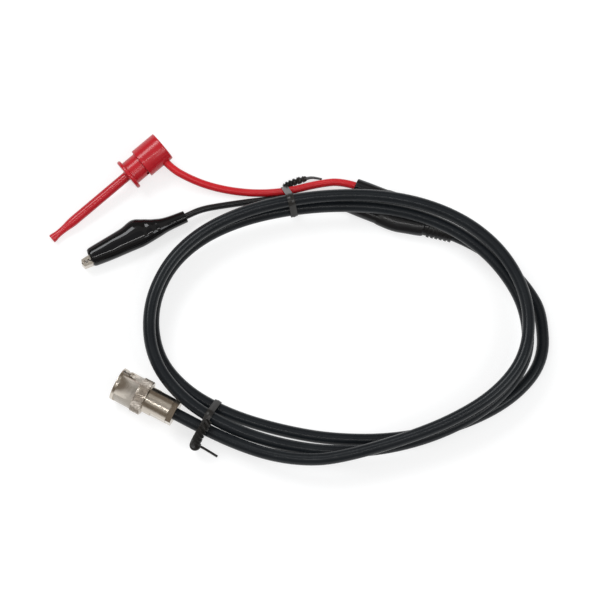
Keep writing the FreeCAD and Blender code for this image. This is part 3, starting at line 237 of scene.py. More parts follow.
class ShaderGroups:
    """The effects that several finishes share."""

    def __init__(self) -> None:
        """Build each group once."""
        self.grain = self._grain()
        self.tone = self._tone()
        self.tooling = self._tooling()

    def _grain(self) -> bpy.types.NodeTree:
        """Fine even grain, with rubbed places that are a little smoother or duller."""
        sheet, start, end = new_group(
            "skin_grain",
            [("Vector", "NodeSocketVector", None), ("Scale", "NodeSocketFloat", 2000.0),
             ("Roughness", "NodeSocketFloat", 0.3), ("Spread", "NodeSocketFloat", 0.1),
             ("Rub Scale", "NodeSocketFloat", 120.0)],
            [("Roughness", "NodeSocketFloat"), ("Height", "NodeSocketFloat")])
        given = start.outputs
        fine, rub = (
            sheet.add("ShaderNodeTexNoise", {
                "Vector": given["Vector"], "Scale": given[scale], "Detail": detail})
            for scale, detail in (("Scale", 3.0), ("Rub Scale", 4.0)))
        centred = sheet.math("SUBTRACT", rub.outputs["Fac"], 0.5)
        offset = sheet.math("MULTIPLY", centred, given["Spread"])
        total = sheet.math("ADD", offset, given["Roughness"])
        sheet.feed(end.inputs["Roughness"], sheet.math("MAXIMUM", total, LEAST_ROUGHNESS))
        sheet.feed(end.inputs["Height"], fine.outputs["Fac"])
        return sheet.tree

    def _tone(self) -> bpy.types.NodeTree:
        """Slow drift between two colours, as in moulded or handled surfaces."""
        sheet, start, end = new_group(
            "tone_drift",
            [("Vector", "NodeSocketVector", None), ("Scale", "NodeSocketFloat", 60.0),
             ("Colour", "NodeSocketColor", (0.5, 0.5, 0.5, 1.0)),
             ("Other", "NodeSocketColor", (0.4, 0.4, 0.4, 1.0))],
            [("Colour", "NodeSocketColor")])
        given = start.outputs
        noise = sheet.add("ShaderNodeTexNoise", {
            "Vector": given["Vector"], "Scale": given["Scale"], "Detail": 5.0})
        steep = sheet.add("ShaderNodeMapRange", {
            "Value": noise.outputs["Fac"], "From Min": 0.35, "From Max": 0.65})
        mix = sheet.add("ShaderNodeMix", {
            "Factor": steep.outputs["Result"], MIX_FIRST: given["Colour"], MIX_SECOND: given["Other"]},
            data_type="RGBA")
        sheet.feed(end.inputs["Colour"], mix.outputs[MIX_RESULT])
        return sheet.tree

    def _tooling(self) -> bpy.types.NodeTree:
        """Fine lines left across the X axis by a lathe tool or a die."""
        sheet, start, end = new_group(
            "tool_lines",
            [("Vector", "NodeSocketVector", None), ("Lines", "NodeSocketFloat", 3000.0)],
            [("Height", "NodeSocketFloat")])
        split = sheet.add("ShaderNodeSeparateXYZ", {0: start.outputs["Vector"]})
        along = sheet.math("MULTIPLY", split.outputs["X"], start.outputs["Lines"])
        noise = sheet.add("ShaderNodeTexNoise", {"Scale": 1.0, "Detail": 2.0, "W": along},
                          noise_dimensions="1D")
        sheet.feed(end.inputs["Height"], noise.outputs["Fac"])
        return sheet.tree


@dataclass(frozen=True)
class Finish:
    """One surface finish, in plain numbers."""

    name: str
    colour: tuple[float, float, float]
    other: tuple[float, float, float]
    roughness: float
    surface: Surface = Surface.MOULDED
    metallic: float = 0.0
    spread: float = 0.12
    grain: float = 2500.0
    depth: float = 0.05
    tone_scale: float = 80.0
    specular: float = 0.5

    def build(self, groups: ShaderGroups, turn: LocalFrame | None = None) -> bpy.types.Material:
        """Build the material.

        Args:
            groups: the shared shader groups.
            turn: the frame whose X axis the tool lines go round, if the finish has them.

        Returns:
            The material, which reads object coordinates.
        """
        material = bpy.data.materials.new(self.name)
        sheet = fresh_sheet(material)
        place = sheet.add("ShaderNodeTexCoord").outputs["Object"]
        grain = sheet.add("ShaderNodeGroup", {
            "Vector": place, "Scale": self.grain, "Roughness": self.roughness, "Spread": self.spread},
            node_tree=groups.grain)
        tone = sheet.add("ShaderNodeGroup", {
            "Vector": place, "Scale": self.tone_scale, "Colour": (*self.colour, 1.0),
            "Other": (*self.other, 1.0)}, node_tree=groups.tone)
        height = grain.outputs["Height"]
        if turn is not None and self.surface in (Surface.TURNED, Surface.EXTRUDED):
            mapping = sheet.add("ShaderNodeMapping", {
                "Vector": place, "Location": turn.point(0.0), "Rotation": turn.matrix().to_euler()},
                vector_type="TEXTURE")
            lines = sheet.add("ShaderNodeGroup", {"Vector": mapping.outputs["Vector"]},
                              node_tree=groups.tooling)
            height = sheet.math("ADD", height, lines.outputs["Height"])
        bump = sheet.add("ShaderNodeBump", {
            "Strength": self.depth, "Distance": GRAIN_DEPTH, "Height": height})
        shader = sheet.add("ShaderNodeBsdfPrincipled", {
            "Metallic": self.metallic, "Specular IOR Level": self.specular,
            "Base Color": tone.outputs["Colour"], "Roughness": grain.outputs["Roughness"],
            "Normal": bump.outputs["Normal"]})
        sheet.add("ShaderNodeOutputMaterial", {"Surface": shader.outputs["BSDF"]})
        return material


class Palette:
    """Every finish of the object, built once and looked up by the record's slot names."""

    FINISHES = {
        "nickel": Finish("bright_nickel", (0.64, 0.585, 0.515), (0.54, 0.49, 0.425), 0.22,
                         Surface.TURNED, 1.0, 0.16, 1800.0, 0.12),
        "plated_steel": Finish("plated_sheet", (0.62, 0.57, 0.5), (0.5, 0.455, 0.4), 0.24,
                               Surface.PRESSED, 1.0, 0.2, 1200.0, 0.1),
        "steel": Finish("spring_steel", (0.55, 0.55, 0.56), (0.45, 0.45, 0.46), 0.3,
                        Surface.PRESSED, 1.0, 0.15, 1500.0, 0.08),
        "tinned": Finish("tinned_brass", (0.74, 0.74, 0.74), (0.64, 0.64, 0.63), 0.28,
                         Surface.PRESSED, 1.0, 0.2, 900.0, 0.1),
        "gold": Finish("gold_flash", (0.83, 0.62, 0.28), (0.76, 0.55, 0.24), 0.22,
                       Surface.TURNED, 1.0, 0.12, 1500.0, 0.06),
        "copper": Finish("tinned_strands", (0.7, 0.5, 0.38), (0.72, 0.66, 0.6), 0.35,
                         Surface.PRESSED, 1.0, 0.2, 2500.0, 0.2),
        "gasket": Finish("soft_gasket", (0.03, 0.03, 0.03), (0.045, 0.045, 0.045), 0.55),
        "insulator": Finish("white_fluoropolymer", (0.86, 0.86, 0.84), (0.8, 0.8, 0.78), 0.38),
        "dielectric": Finish("natural_polyethylene", (0.82, 0.82, 0.78), (0.76, 0.76, 0.72), 0.4),
        "cable_jacket": Finish("cable_vinyl", (0.009, 0.011, 0.0135), (0.012, 0.0145, 0.017), 0.27,
                               Surface.EXTRUDED, 0.0, 0.1, 900.0, 0.05, specular=0.2),
        "black_moulding": Finish("black_moulding", (0.008, 0.008, 0.009), (0.012, 0.012, 0.013), 0.22,
                                 spread=0.1, grain=1500.0, depth=0.05, specular=0.3),
        "red_insulation": Finish("red_vinyl", (0.62, 0.014, 0.022), (0.56, 0.012, 0.019), 0.32,
                                 Surface.EXTRUDED, 0.0, 0.1, 1500.0, 0.04, specular=0.35),
        "black_insulation": Finish("black_vinyl", (0.01, 0.01, 0.011), (0.014, 0.014, 0.015), 0.3,
                                   Surface.EXTRUDED, 0.0, 0.1, 1500.0, 0.04, specular=0.3),
        "red_nylon": Finish("red_nylon", (0.52, 0.012, 0.022), (0.46, 0.010, 0.018), 0.24,
                            spread=0.1, grain=1500.0, depth=0.04, specular=0.4),
        "soft_vinyl": Finish("dipped_vinyl", (0.004, 0.004, 0.0045), (0.006, 0.006, 0.007), 0.07,
                             spread=0.05, grain=400.0, depth=0.06, specular=0.3),
        "tie_plastic": Finish("tie_plastic", (0.018, 0.017, 0.016), (0.026, 0.024, 0.022), 0.3,
                              spread=0.14, grain=1600.0, depth=0.1, specular=0.3),
        "knurled_nickel": Finish("knurled_nickel", (0.72, 0.66, 0.6), (0.3, 0.27, 0.235), 0.4,
                                 Surface.PRESSED, 1.0, 0.2, 2600.0, 0.3, tone_scale=1500.0),
    }

    def __init__(self) -> None:
        """Build the shared groups and the finishes."""
        self.groups = ShaderGroups()
        frames = {"nickel": PLUG, "gold": GRABBER}
        self.materials = {slot: finish.build(self.groups, frames.get(slot))
                          for slot, finish in self.FINISHES.items()}

    def __getitem__(self, slot: str) -> bpy.types.Material:
        """Material of a slot."""
        return self.materials[slot]


# Mesh tools


def rounded_outline(corners: Sequence[Corner], steps: int = 5) -> list[tuple[float, float]]:
    """Round the corners of a closed outline.

    Args:
        corners: along, radius and rounding of each corner, in order round the outline.
        steps: points on each rounding.

    Returns:
        The outline's points.
    """
    points: list[tuple[float, float]] = []
    for number, (x, r, rounding) in enumerate(corners):
        here = Vector((x, r))
        if rounding <= 0.0:
            points.append((x, r))
            continue
        before = Vector(corners[number - 1][:2])
        after = Vector(corners[(number + 1) % len(corners)][:2])
        start = here + (before - here).normalized() * min(rounding, (before - here).length * 0.45)
        end = here + (after - here).normalized() * min(rounding, (after - here).length * 0.45)
        for step in range(steps + 1):
            t = step / steps
            point = start * (1 - t) ** 2 + here * (2 * t * (1 - t)) + end * t ** 2
            points.append((point.x, point.y))
    return points


def turned_mesh(outline: Sequence[tuple[float, float]], sides: int = 96) -> bmesh.types.BMesh:
    """Turn a closed outline of (along, radius) points about the local X axis.

    Args:
        outline: points in order; a point on the axis becomes a pole.
        sides: facets round the axis.

    Returns:
        A closed mesh with outward faces.
    """
    angles = [2 * math.pi * number / sides for number in range(sides)]
    return lofted_mesh([[Vector((x, r * math.cos(a), r * math.sin(a))) for a in (angles if r else angles[:1])]
                        for x, r in outline], looped=True)


def join_rings(mesh: bmesh.types.BMesh, one: Sequence[bmesh.types.BMVert],
               other: Sequence[bmesh.types.BMVert]) -> None:
    """Join two rings, or a ring and a pole, with faces."""
    if len(one) == 1 and len(other) == 1:
        return
    count = max(len(one), len(other))
    for number in range(count):
        after = (number + 1) % count
        corners = [one[number % len(one)], one[after % len(one)],
                   other[after % len(other)], other[number % len(other)]]
        mesh.faces.new(list(dict.fromkeys(corners)))


def lofted_mesh(rings: Sequence[Sequence[Vector]], looped: bool = False) -> bmesh.types.BMesh:
    """Skin a row of rings that have the same number of points, or one point for a pole.

    Args:
        rings: the rings in order.
        looped: whether the last ring joins the first one; if not, each gets a flat face.

    Returns:
        The mesh, with outward faces.
    """
    mesh = bmesh.new()
    rows = [[mesh.verts.new(point) for point in ring] for ring in rings]
    for one, other in zip(rows, rows[1:]):
        join_rings(mesh, one, other)
    if looped:
        join_rings(mesh, rows[-1], rows[0])
    else:
        mesh.faces.new(rows[0])
        mesh.faces.new(rows[-1])
    bmesh.ops.recalc_face_normals(mesh, faces=mesh.faces)
    return mesh


def carried(path: Sequence[Vector]) -> list[tuple[Vector, Vector, Vector]]:
    """Point, side and upward direction along a path, carried on without twist."""
    found = []
    side = Vector((0.0, 0.0, 0.0))
    for number, point in enumerate(path):
        along = (path[min(number + 1, len(path) - 1)] - path[max(number - 1, 0)]).normalized()
        if side.length < 0.5:
            side = along.cross(UP) if abs(along.z) < 0.9 else along.orthogonal()
        side = (side - along * side.dot(along)).normalized()
        found.append((point, side, side.cross(along)))
    return found


def tube_mesh(path: Sequence[Vector], radius: float, sides: int = 16) -> bmesh.types.BMesh:
    """Round tube along points, carried on without twist.

    Args:
        path: the points of the middle line.
        radius: the tube's radius.
        sides: facets round it.

    Returns:
        A closed mesh.
    """
    angles = [2 * math.pi * step / sides for step in range(sides)]
    return lofted_mesh([[point + (side * math.cos(a) + other * math.sin(a)) * radius for a in angles]
                        for point, side, other in carried(path)])


def curve_through(corners: Sequence[Corner], steps: int = 10) -> list[Vector]:
    """Smooth line of points through corners given in unshifted millimetres."""
    places = [Vector(corner) + SHIFT for corner in corners]
    found = []
    for number, (b, c) in enumerate(zip(places, places[1:])):
        a = places[max(number - 1, 0)]
        d = places[min(number + 2, len(places) - 1)]
        for step in range(steps):
            t = step / steps
            found.append((2 * b + (c - a) * t + (2 * a - 5 * b + 4 * c - d) * t ** 2
                          + (3 * b - a - 3 * c + d) * t ** 3) / 2)
    return [*found, places[-1]]


def hermite(t: float) -> tuple[float, float, float, float]:
    """Weights of the start, its slope, the end and its slope on a cubic, for t from 0 to 1."""
    return (2 * t ** 3 - 3 * t ** 2 + 1, t ** 3 - 2 * t ** 2 + t, 3 * t ** 2 - 2 * t ** 3, t ** 3 - t ** 2)


def through(stations: Sequence[Sequence[float]], count: int) -> list[list[float]]:
    """Smooth rows of values through stations, the first value being the place along the piece.

    Args:
        stations: place and values of each station, in order.
        count: rows wanted.

    Returns:
        Evenly placed rows, which pass through the stations without overshoot.
    """
    rows = []
    first, last = stations[0][0], stations[-1][0]
    slopes = []
    for number in range(len(stations)):
        before = stations[max(number - 1, 0)]
        after = stations[min(number + 1, len(stations) - 1)]
        slopes.append([(b - a) / (after[0] - before[0]) for a, b in zip(before, after)])
    for step in range(count):
        x = first + (last - first) * step / (count - 1)
        index = max(i for i in range(len(stations) - 1) if stations[i][0] <= x + 1e-9)
        a, b = stations[index], stations[index + 1]
        span = b[0] - a[0]
        t = (x - a[0]) / span
        h = hermite(t)
        row = [h[0] * p + h[1] * span * m + h[2] * q + h[3] * span * n
               for p, m, q, n in zip(a, slopes[index], b, slopes[index + 1])]
        rows.append([x] + row[1:])
    return rows


def oval_ring(x: float, middle: float, half_width: float, half_height: float,
              power: float = 2.0, count: int = 48) -> list[Vector]:
    """Ring of points round an oval that stands across the local X axis.

    Args:
        x: place along the axis.
        middle: sideways place of its middle.
        half_width: half its width, sideways.
        half_height: half its height.
        power: 2 for an ellipse, more for a squarer oval.
        count: points.

    Returns:
        The points in order.
    """
    points = []
    for number in range(count):
        angle = 2 * math.pi * number / count
        c, s = math.cos(angle), math.sin(angle)
        points.append(Vector((
            x, middle + half_width * math.copysign(abs(c) ** (2 / power), c),
            half_height * math.copysign(abs(s) ** (2 / power), s))))
    return points


def to_object(name: str, mesh: bmesh.types.BMesh, place: Matrix,
              material: bpy.types.Material, crease: float = 35.0) -> bpy.types.Object:
    """Turn a finished mesh into a smooth-shaded object at the origin.

    Args:
        name: the piece's name.
        mesh: the mesh, in the coordinates that place maps from; it is freed.
        place: matrix to the object's metres.
        material: its finish.
        crease: edges sharper than this angle, in degrees, stay sharp.

    Returns:
        The object, linked to the scene.
    """
    data = bpy.data.meshes.new(name)
    mesh.to_mesh(data)
    mesh.free()
    data.transform(place)
    piece = bpy.data.objects.new(name, data)
    bpy.context.scene.collection.objects.link(piece)
    data.materials.append(material)
    smooth(piece, crease)
    return piece


def smooth(piece: bpy.types.Object, crease: float = 35.0) -> None:
    """Shade a piece smooth and keep its sharp edges."""
    piece.data.shade_smooth()
    piece.data.set_sharp_from_angle(angle=math.radians(crease))


def settled(piece: bpy.types.Object) -> bpy.types.Object:
    """Put the result of a piece's modifiers into its mesh and remove them."""
    graph = bpy.context.evaluated_depsgraph_get()
    data = bpy.data.meshes.new_from_object(piece.evaluated_get(graph))
    piece.modifiers.clear()
    piece.data = data
    return piece


def cut_away(piece: bpy.types.Object, tools: Sequence[bmesh.types.BMesh], place: Matrix) -> None:
    """Cut solids out of a piece.

    Args:
        piece: the piece.
        tools: closed meshes to take away; they are freed.
        place: the matrix that brings them to the object's metres.
    """
    made = []
    for number, tool in enumerate(tools):
        data = bpy.data.meshes.new("tool_%d" % number)
        tool.to_mesh(data)
        tool.free()
        data.transform(place)
        cutter = bpy.data.objects.new("tool_%d" % number, data)
        bpy.context.scene.collection.objects.link(cutter)
        modifier = piece.modifiers.new("cut", "BOOLEAN")
        modifier.operation = "DIFFERENCE"
        modifier.solver = "EXACT"
        modifier.object = cutter
        made.append(cutter)
    settled(piece)
    for cutter in made:
        bpy.data.objects.remove(cutter)


def box_mesh(low: Sequence[float], high: Sequence[float]) -> bmesh.types.BMesh:
    """Closed box between two corners."""
    mesh = bmesh.new()
    size = Vector(high) - Vector(low)
    middle = (Vector(high) + Vector(low)) / 2
    bmesh.ops.create_cube(mesh, size=1.0, matrix=Matrix.Translation(middle) @ Matrix.Diagonal((*size, 1.0)))
    return mesh


# Geometry Nodes trees for what repeats


class GrowthTree:
    """Base of the node trees: named inputs, and an end that realizes instances and sets the material."""

    NAME = "growth"
    INPUTS: Sequence[tuple[str, str]] = ()

    def __init__(self) -> None:
        """Build the tree once."""
        self.tree = bpy.data.node_groups.new(self.NAME, "GeometryNodeTree")
        self.tree.interface.new_socket("Geometry", in_out="INPUT", socket_type="NodeSocketGeometry")
        for label, kind in (*self.INPUTS, ("Material", "NodeSocketMaterial")):
            self.tree.interface.new_socket(label, in_out="INPUT", socket_type=kind)
        self.tree.interface.new_socket("Geometry", in_out="OUTPUT", socket_type="NodeSocketGeometry")
        self.sheet = ShaderSheet(self.tree)
        self.start = self.sheet.add("NodeGroupInput")
        end = self.sheet.add("NodeGroupOutput")
        realize = self.sheet.add("GeometryNodeRealizeInstances", {"Geometry": self.lay()})
        dress = self.sheet.add("GeometryNodeSetMaterial", {
            "Geometry": realize.outputs["Geometry"], "Material": self.start.outputs["Material"]})
        self.sheet.feed(end.inputs["Geometry"], dress.outputs["Geometry"])

    def lay(self) -> bpy.types.NodeSocket:
        """Nodes between the inputs and the end; returns the geometry socket."""
        raise NotImplementedError

    def grow(self, piece: bpy.types.Object, material: bpy.types.Material,
             **values: object) -> bpy.types.Object:
        """Run the tree on a piece and keep the result as a plain mesh.

        Args:
            piece: the piece, whose mesh is what repeats, or is empty.
            material: the finish that the result gets.
            **values: inputs by name, with _ for a space.

        Returns:
            The same piece.
        """
        modifier = piece.modifiers.new(self.NAME, "NODES")
        modifier.node_group = self.tree
        values["Material"] = material
        wanted = {key.replace("_", " "): value for key, value in values.items()}
        for item in self.tree.interface.items_tree:
            if item.item_type == "SOCKET" and item.in_out == "INPUT" and item.name in wanted:
                modifier[item.identifier] = wanted[item.name]
        return settled(piece)


class RowTree(GrowthTree):
    """Copies of the piece in a row along X, each a little larger or smaller than the one before."""

    NAME = "row_along_x"
    INPUTS = (("Count", "NodeSocketInt"), ("Start", "NodeSocketVector"), ("Step", "NodeSocketVector"),
              ("First Size", "NodeSocketVector"), ("Size Step", "NodeSocketVector"))

    def lay(self) -> bpy.types.NodeSocket:
        """Row of points, with an instance on each."""
        sheet, given = self.sheet, self.start.outputs
        line = sheet.add("GeometryNodeMeshLine", {
            "Count": given["Count"], "Start Location": given["Start"], "Offset": given["Step"]},
            mode="OFFSET")
        index = sheet.add("GeometryNodeInputIndex").outputs[0]
        grown = sheet.add("ShaderNodeVectorMath", {0: given["Size Step"], "Scale": index}, operation="SCALE")
        size = sheet.add("ShaderNodeVectorMath", {0: grown.outputs[0], 1: given["First Size"]},
                         operation="ADD")
        copies = sheet.add("GeometryNodeInstanceOnPoints", {
            "Points": line.outputs["Mesh"], "Instance": given["Geometry"], "Scale": size.outputs[0]})
        return copies.outputs["Instances"]


class RingTree(GrowthTree):
    """Copies of the piece in rings round X, with every second ring turned by half a step."""

    NAME = "rings_round_x"
    INPUTS = (("Around", "NodeSocketInt"), ("Rings", "NodeSocketInt"), ("Radius", "NodeSocketFloat"),
              ("Start", "NodeSocketFloat"), ("Pitch", "NodeSocketFloat"))

    def lay(self) -> bpy.types.NodeSocket:
        """Points on rings, with a turned instance on each."""
        sheet, given = self.sheet, self.start.outputs
        around, radius = given["Around"], given["Radius"]
        line = sheet.add("GeometryNodeMeshLine", {"Count": sheet.math("MULTIPLY", around, given["Rings"])},
                         mode="OFFSET")
        index = sheet.add("GeometryNodeInputIndex").outputs[0]
        ring = sheet.math("FLOOR", sheet.math("DIVIDE", index, around))
        offset = sheet.math("MULTIPLY", sheet.math("MODULO", ring, 2.0), 0.5)
        turns = sheet.math("DIVIDE", sheet.math("ADD", index, offset), around)
        angle = sheet.math("MULTIPLY", turns, 2 * math.pi)
        place = sheet.add("ShaderNodeCombineXYZ", {
            "X": sheet.math("ADD", sheet.math("MULTIPLY", ring, given["Pitch"]), given["Start"]),
            "Y": sheet.math("MULTIPLY", sheet.math("COSINE", angle), radius),
            "Z": sheet.math("MULTIPLY", sheet.math("SINE", angle), radius)})
        moved = sheet.add("GeometryNodeSetPosition", {
            "Geometry": line.outputs["Mesh"], "Position": place.outputs[0]})
        turn = sheet.add("ShaderNodeCombineXYZ", {"X": angle})
        copies = sheet.add("GeometryNodeInstanceOnPoints", {
            "Points": moved.outputs["Geometry"], "Instance": given["Geometry"], "Rotation": turn.outputs[0]})
        return copies.outputs["Instances"]


class SpringTree(GrowthTree):
    """Round wire wound about X."""

    NAME = "wound_wire"
    INPUTS = (("Turns", "NodeSocketFloat"), ("Radius", "NodeSocketFloat"), ("Length", "NodeSocketFloat"),
              ("Start", "NodeSocketFloat"), ("Wire", "NodeSocketFloat"))

    def lay(self) -> bpy.types.NodeSocket:
        """A spiral curve swept with a round section, then laid along X."""
        sheet, given = self.sheet, self.start.outputs
        spiral = sheet.add("GeometryNodeCurveSpiral", {
            "Resolution": 28, "Rotations": given["Turns"], "Start Radius": given["Radius"],
            "End Radius": given["Radius"], "Height": given["Length"]})
        section = sheet.add("GeometryNodeCurvePrimitiveCircle", {"Resolution": 12, "Radius": given["Wire"]})
        sweep = sheet.add("GeometryNodeCurveToMesh", {
            "Fill Caps": True, "Curve": spiral.outputs["Curve"], "Profile Curve": section.outputs["Curve"]})
        place = sheet.add("ShaderNodeCombineXYZ", {"X": given["Start"]})
        laid = sheet.add("GeometryNodeTransform", {
            "Rotation": (0.0, math.pi / 2, 0.0), "Geometry": sweep.outputs["Mesh"],
            "Translation": place.outputs[0]})
        return laid.outputs["Geometry"]


# Cables


@dataclass
class CableCoil:
    """The coax: from the plug, round two and a half turns, into the splitter's tail."""

    palette: Palette
    diameter: float = 4.95
    jacket_start: float = 16.95
    plug_end: float = 26.25
    jacket_entry: float = 18.0
    middle: tuple[float, float] = (13.6, -7.0)
    # For each quarter turn: distance from the middle, slope outwards in degrees, and height
    reach: Sequence[float] = (60, 77, 45.5, 72.9, 56.5, 76, 42.5, 71.9, 50.5, 83.1)
    lean: Sequence[float] = (-13, -12, -4, 11, 3, -21.5, -2, 6.5, 7.5, -20.5)
    height: Sequence[float] = (12.2, 16.8, 14.6, 12.2, 7.0, 11.1, 9.6, 4.3, 3.3, 3.2)
    quarter: float = 95.0
    points_each: int = 5
    spline_lag: float = 0.74
    bow: float = 1.17

    def stations(self) -> list[tuple[Vector, Vector]]:
        """Place and direction at the plug, at every quarter turn and at the splitter, in millimetres."""
        exit_point = PLUG.point(self.plug_end) / MM
        entry = SPLITTER.point(0.0) / MM
        heights = [exit_point.z, *self.height, entry.z]
        found = [(exit_point, PLUG.axis())]
        centre = Vector((*self.middle, 0.0)) + SHIFT
        for number, (reach, lean) in enumerate(zip(self.reach, self.lean)):
            outward = level(90 * number - 90)
            along = (level(90 * number) + outward * math.tan(math.radians(lean))).normalized()
            climb = (heights[number + 2] - heights[number]) / (2 * self.quarter)
            place = centre + outward * reach + UP * self.height[number]
            found.append((place, (along + UP * climb).normalized()))
        found.append((entry, SPLITTER.axis()))
        return found

    def points(self) -> list[Vector]:
        """Control points of the coax's spline, in metres."""
        stations = self.stations()
        first, last = stations[0], stations[-1]
        points = [first[0] - first[1] * (self.plug_end - self.jacket_start)]
        spans = len(stations) - 1
        for span, ((a, da), (b, db)) in enumerate(zip(stations, stations[1:])):
            inner = 0 < span < spans - 1
            pull = (self.bow if inner else 1.0) * (b - a).length
            for number in range(self.points_each):
                t = number / self.points_each
                h = hermite(t)
                place = a * h[0] + da * pull * h[1] + b * h[2] + db * pull * h[3]
                if inner:
                    along = (da * (1 - t) + db * t).normalized()
                    place = place + along.cross(UP).normalized() * self.spline_lag
                points.append(place)
        points.append(last[0])
        points.append(last[0] + last[1] * self.jacket_entry)
        return [point * MM for point in points]

    def build(self) -> bpy.types.Object:
        cable = cord_curve("coax_jacket", self.points(), self.diameter, self.palette["cable_jacket"])
        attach(cable, "lead")
        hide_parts("coax_cable")
        return cable


def cord_curve(name: str, points: Sequence[Vector], diameter: float,
               material: bpy.types.Material) -> bpy.types.Object:
    """Round cord on one open NURBS spline.

    Args:
        name: the piece's name.
        points: its control points, in metres.
        diameter: its diameter, in millimetres.
        material: its finish.

    Returns:
        The curve object.
    """
    data = bpy.data.curves.new(name, "CURVE")
    data.dimensions = "3D"
    spline = data.splines.new("NURBS")
    spline.points.add(len(points) - 1)
    for control, point in zip(spline.points, points):
        control.co = (*point, 1.0)
        control.radius = MM
    spline.order_u = 3
    spline.use_endpoint_u = True
    spline.resolution_u = 8
    data.bevel_depth = diameter / 2
    data.bevel_resolution = 8
    data.use_fill_caps = True
    data.materials.append(material)
    piece = bpy.data.objects.new(name, data)
    bpy.context.scene.collection.objects.link(piece)
    return piece


def cord_line(piece: bpy.types.Object) -> list[Vector]:
    """Points along a cord's own spline, in metres."""
    depth = piece.data.bevel_depth
    piece.data.bevel_depth = 0.0
    graph = bpy.context.evaluated_depsgraph_get()
    data = bpy.data.meshes.new_from_object(piece.evaluated_get(graph))
    points = [vertex.co.copy() for vertex in data.vertices]
    bpy.data.meshes.remove(data)
    piece.data.bevel_depth = depth
    return points


@dataclass
class Leads:
    """The red lead from the grabber's cap and the black one from the clip, both into the splitter."""

    palette: Palette
    red_diameter: float = 3.1
    black_diameter: float = 2.6
    lead_seat: float = 37.75
    straight: float = 5.0
    cap_hole: float = 54.7
    lift: float = 1.3

    def points(self, start: Sequence[Vector], free: Sequence[Corner], side: int) -> list[Vector]:
        """Control points of a lead, in metres.

        Args:
            start: its first points, in metres.
            free: points between the start and the splitter, in unshifted millimetres.
            side: -1 or 1 for the splitter's arm that it goes into.

        Returns:
            The points in order.
        """
        return [*start, *((Vector(point) + SHIFT) * MM for point in free),
                SPLITTER.point(ARM_END + self.straight, side * ARM_SPACING),
                SPLITTER.point(self.lead_seat, side * ARM_SPACING)]

    def red_points(self) -> list[Vector]:
        """Control points of the red lead, in metres."""
        radius = self.red_diameter / 2
        high = radius + self.lift
        return self.points(
            [GRABBER.point(self.cap_hole, -1.55), GRABBER.point(self.cap_hole, -9.0)],
            ((-44.0, 48.5, 5.4), (-36.0, 46.0, radius + 1.2), (-26.0, 44.1, radius),
             (-15.0, 43.2, radius + 0.2), (-3.5, 44.0, high), (7.0, 46.9, high)), -1)

    def black_points(self) -> list[Vector]:
        """Control points of the black lead, in metres."""
        radius = self.black_diameter / 2
        high = radius + self.lift
        return self.points(
            [CLIP.point(33.0), CLIP.point(45.8), CLIP.point(52.5)],
            ((-31.5, 38.0, radius + 1.0), (-18.0, 40.2, radius + 0.1), (-6.0, 41.1, high),
             (3.2, 41.6, high + 0.1)), 1)

    def build(self) -> list[bpy.types.Object]:
        made = []
        for name, points, diameter, length in (
                ("red", self.red_points(), self.red_diameter, 0.091),
                ("black", self.black_points(), self.black_diameter, 0.086)):
            slot = name + "_insulation"
            piece = cord_curve(name + "_flying_lead", points, diameter, self.palette[slot])
            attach(piece, "lead")
            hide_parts(name + "_lead")
            made.append(piece)
        return made


# Twist ties


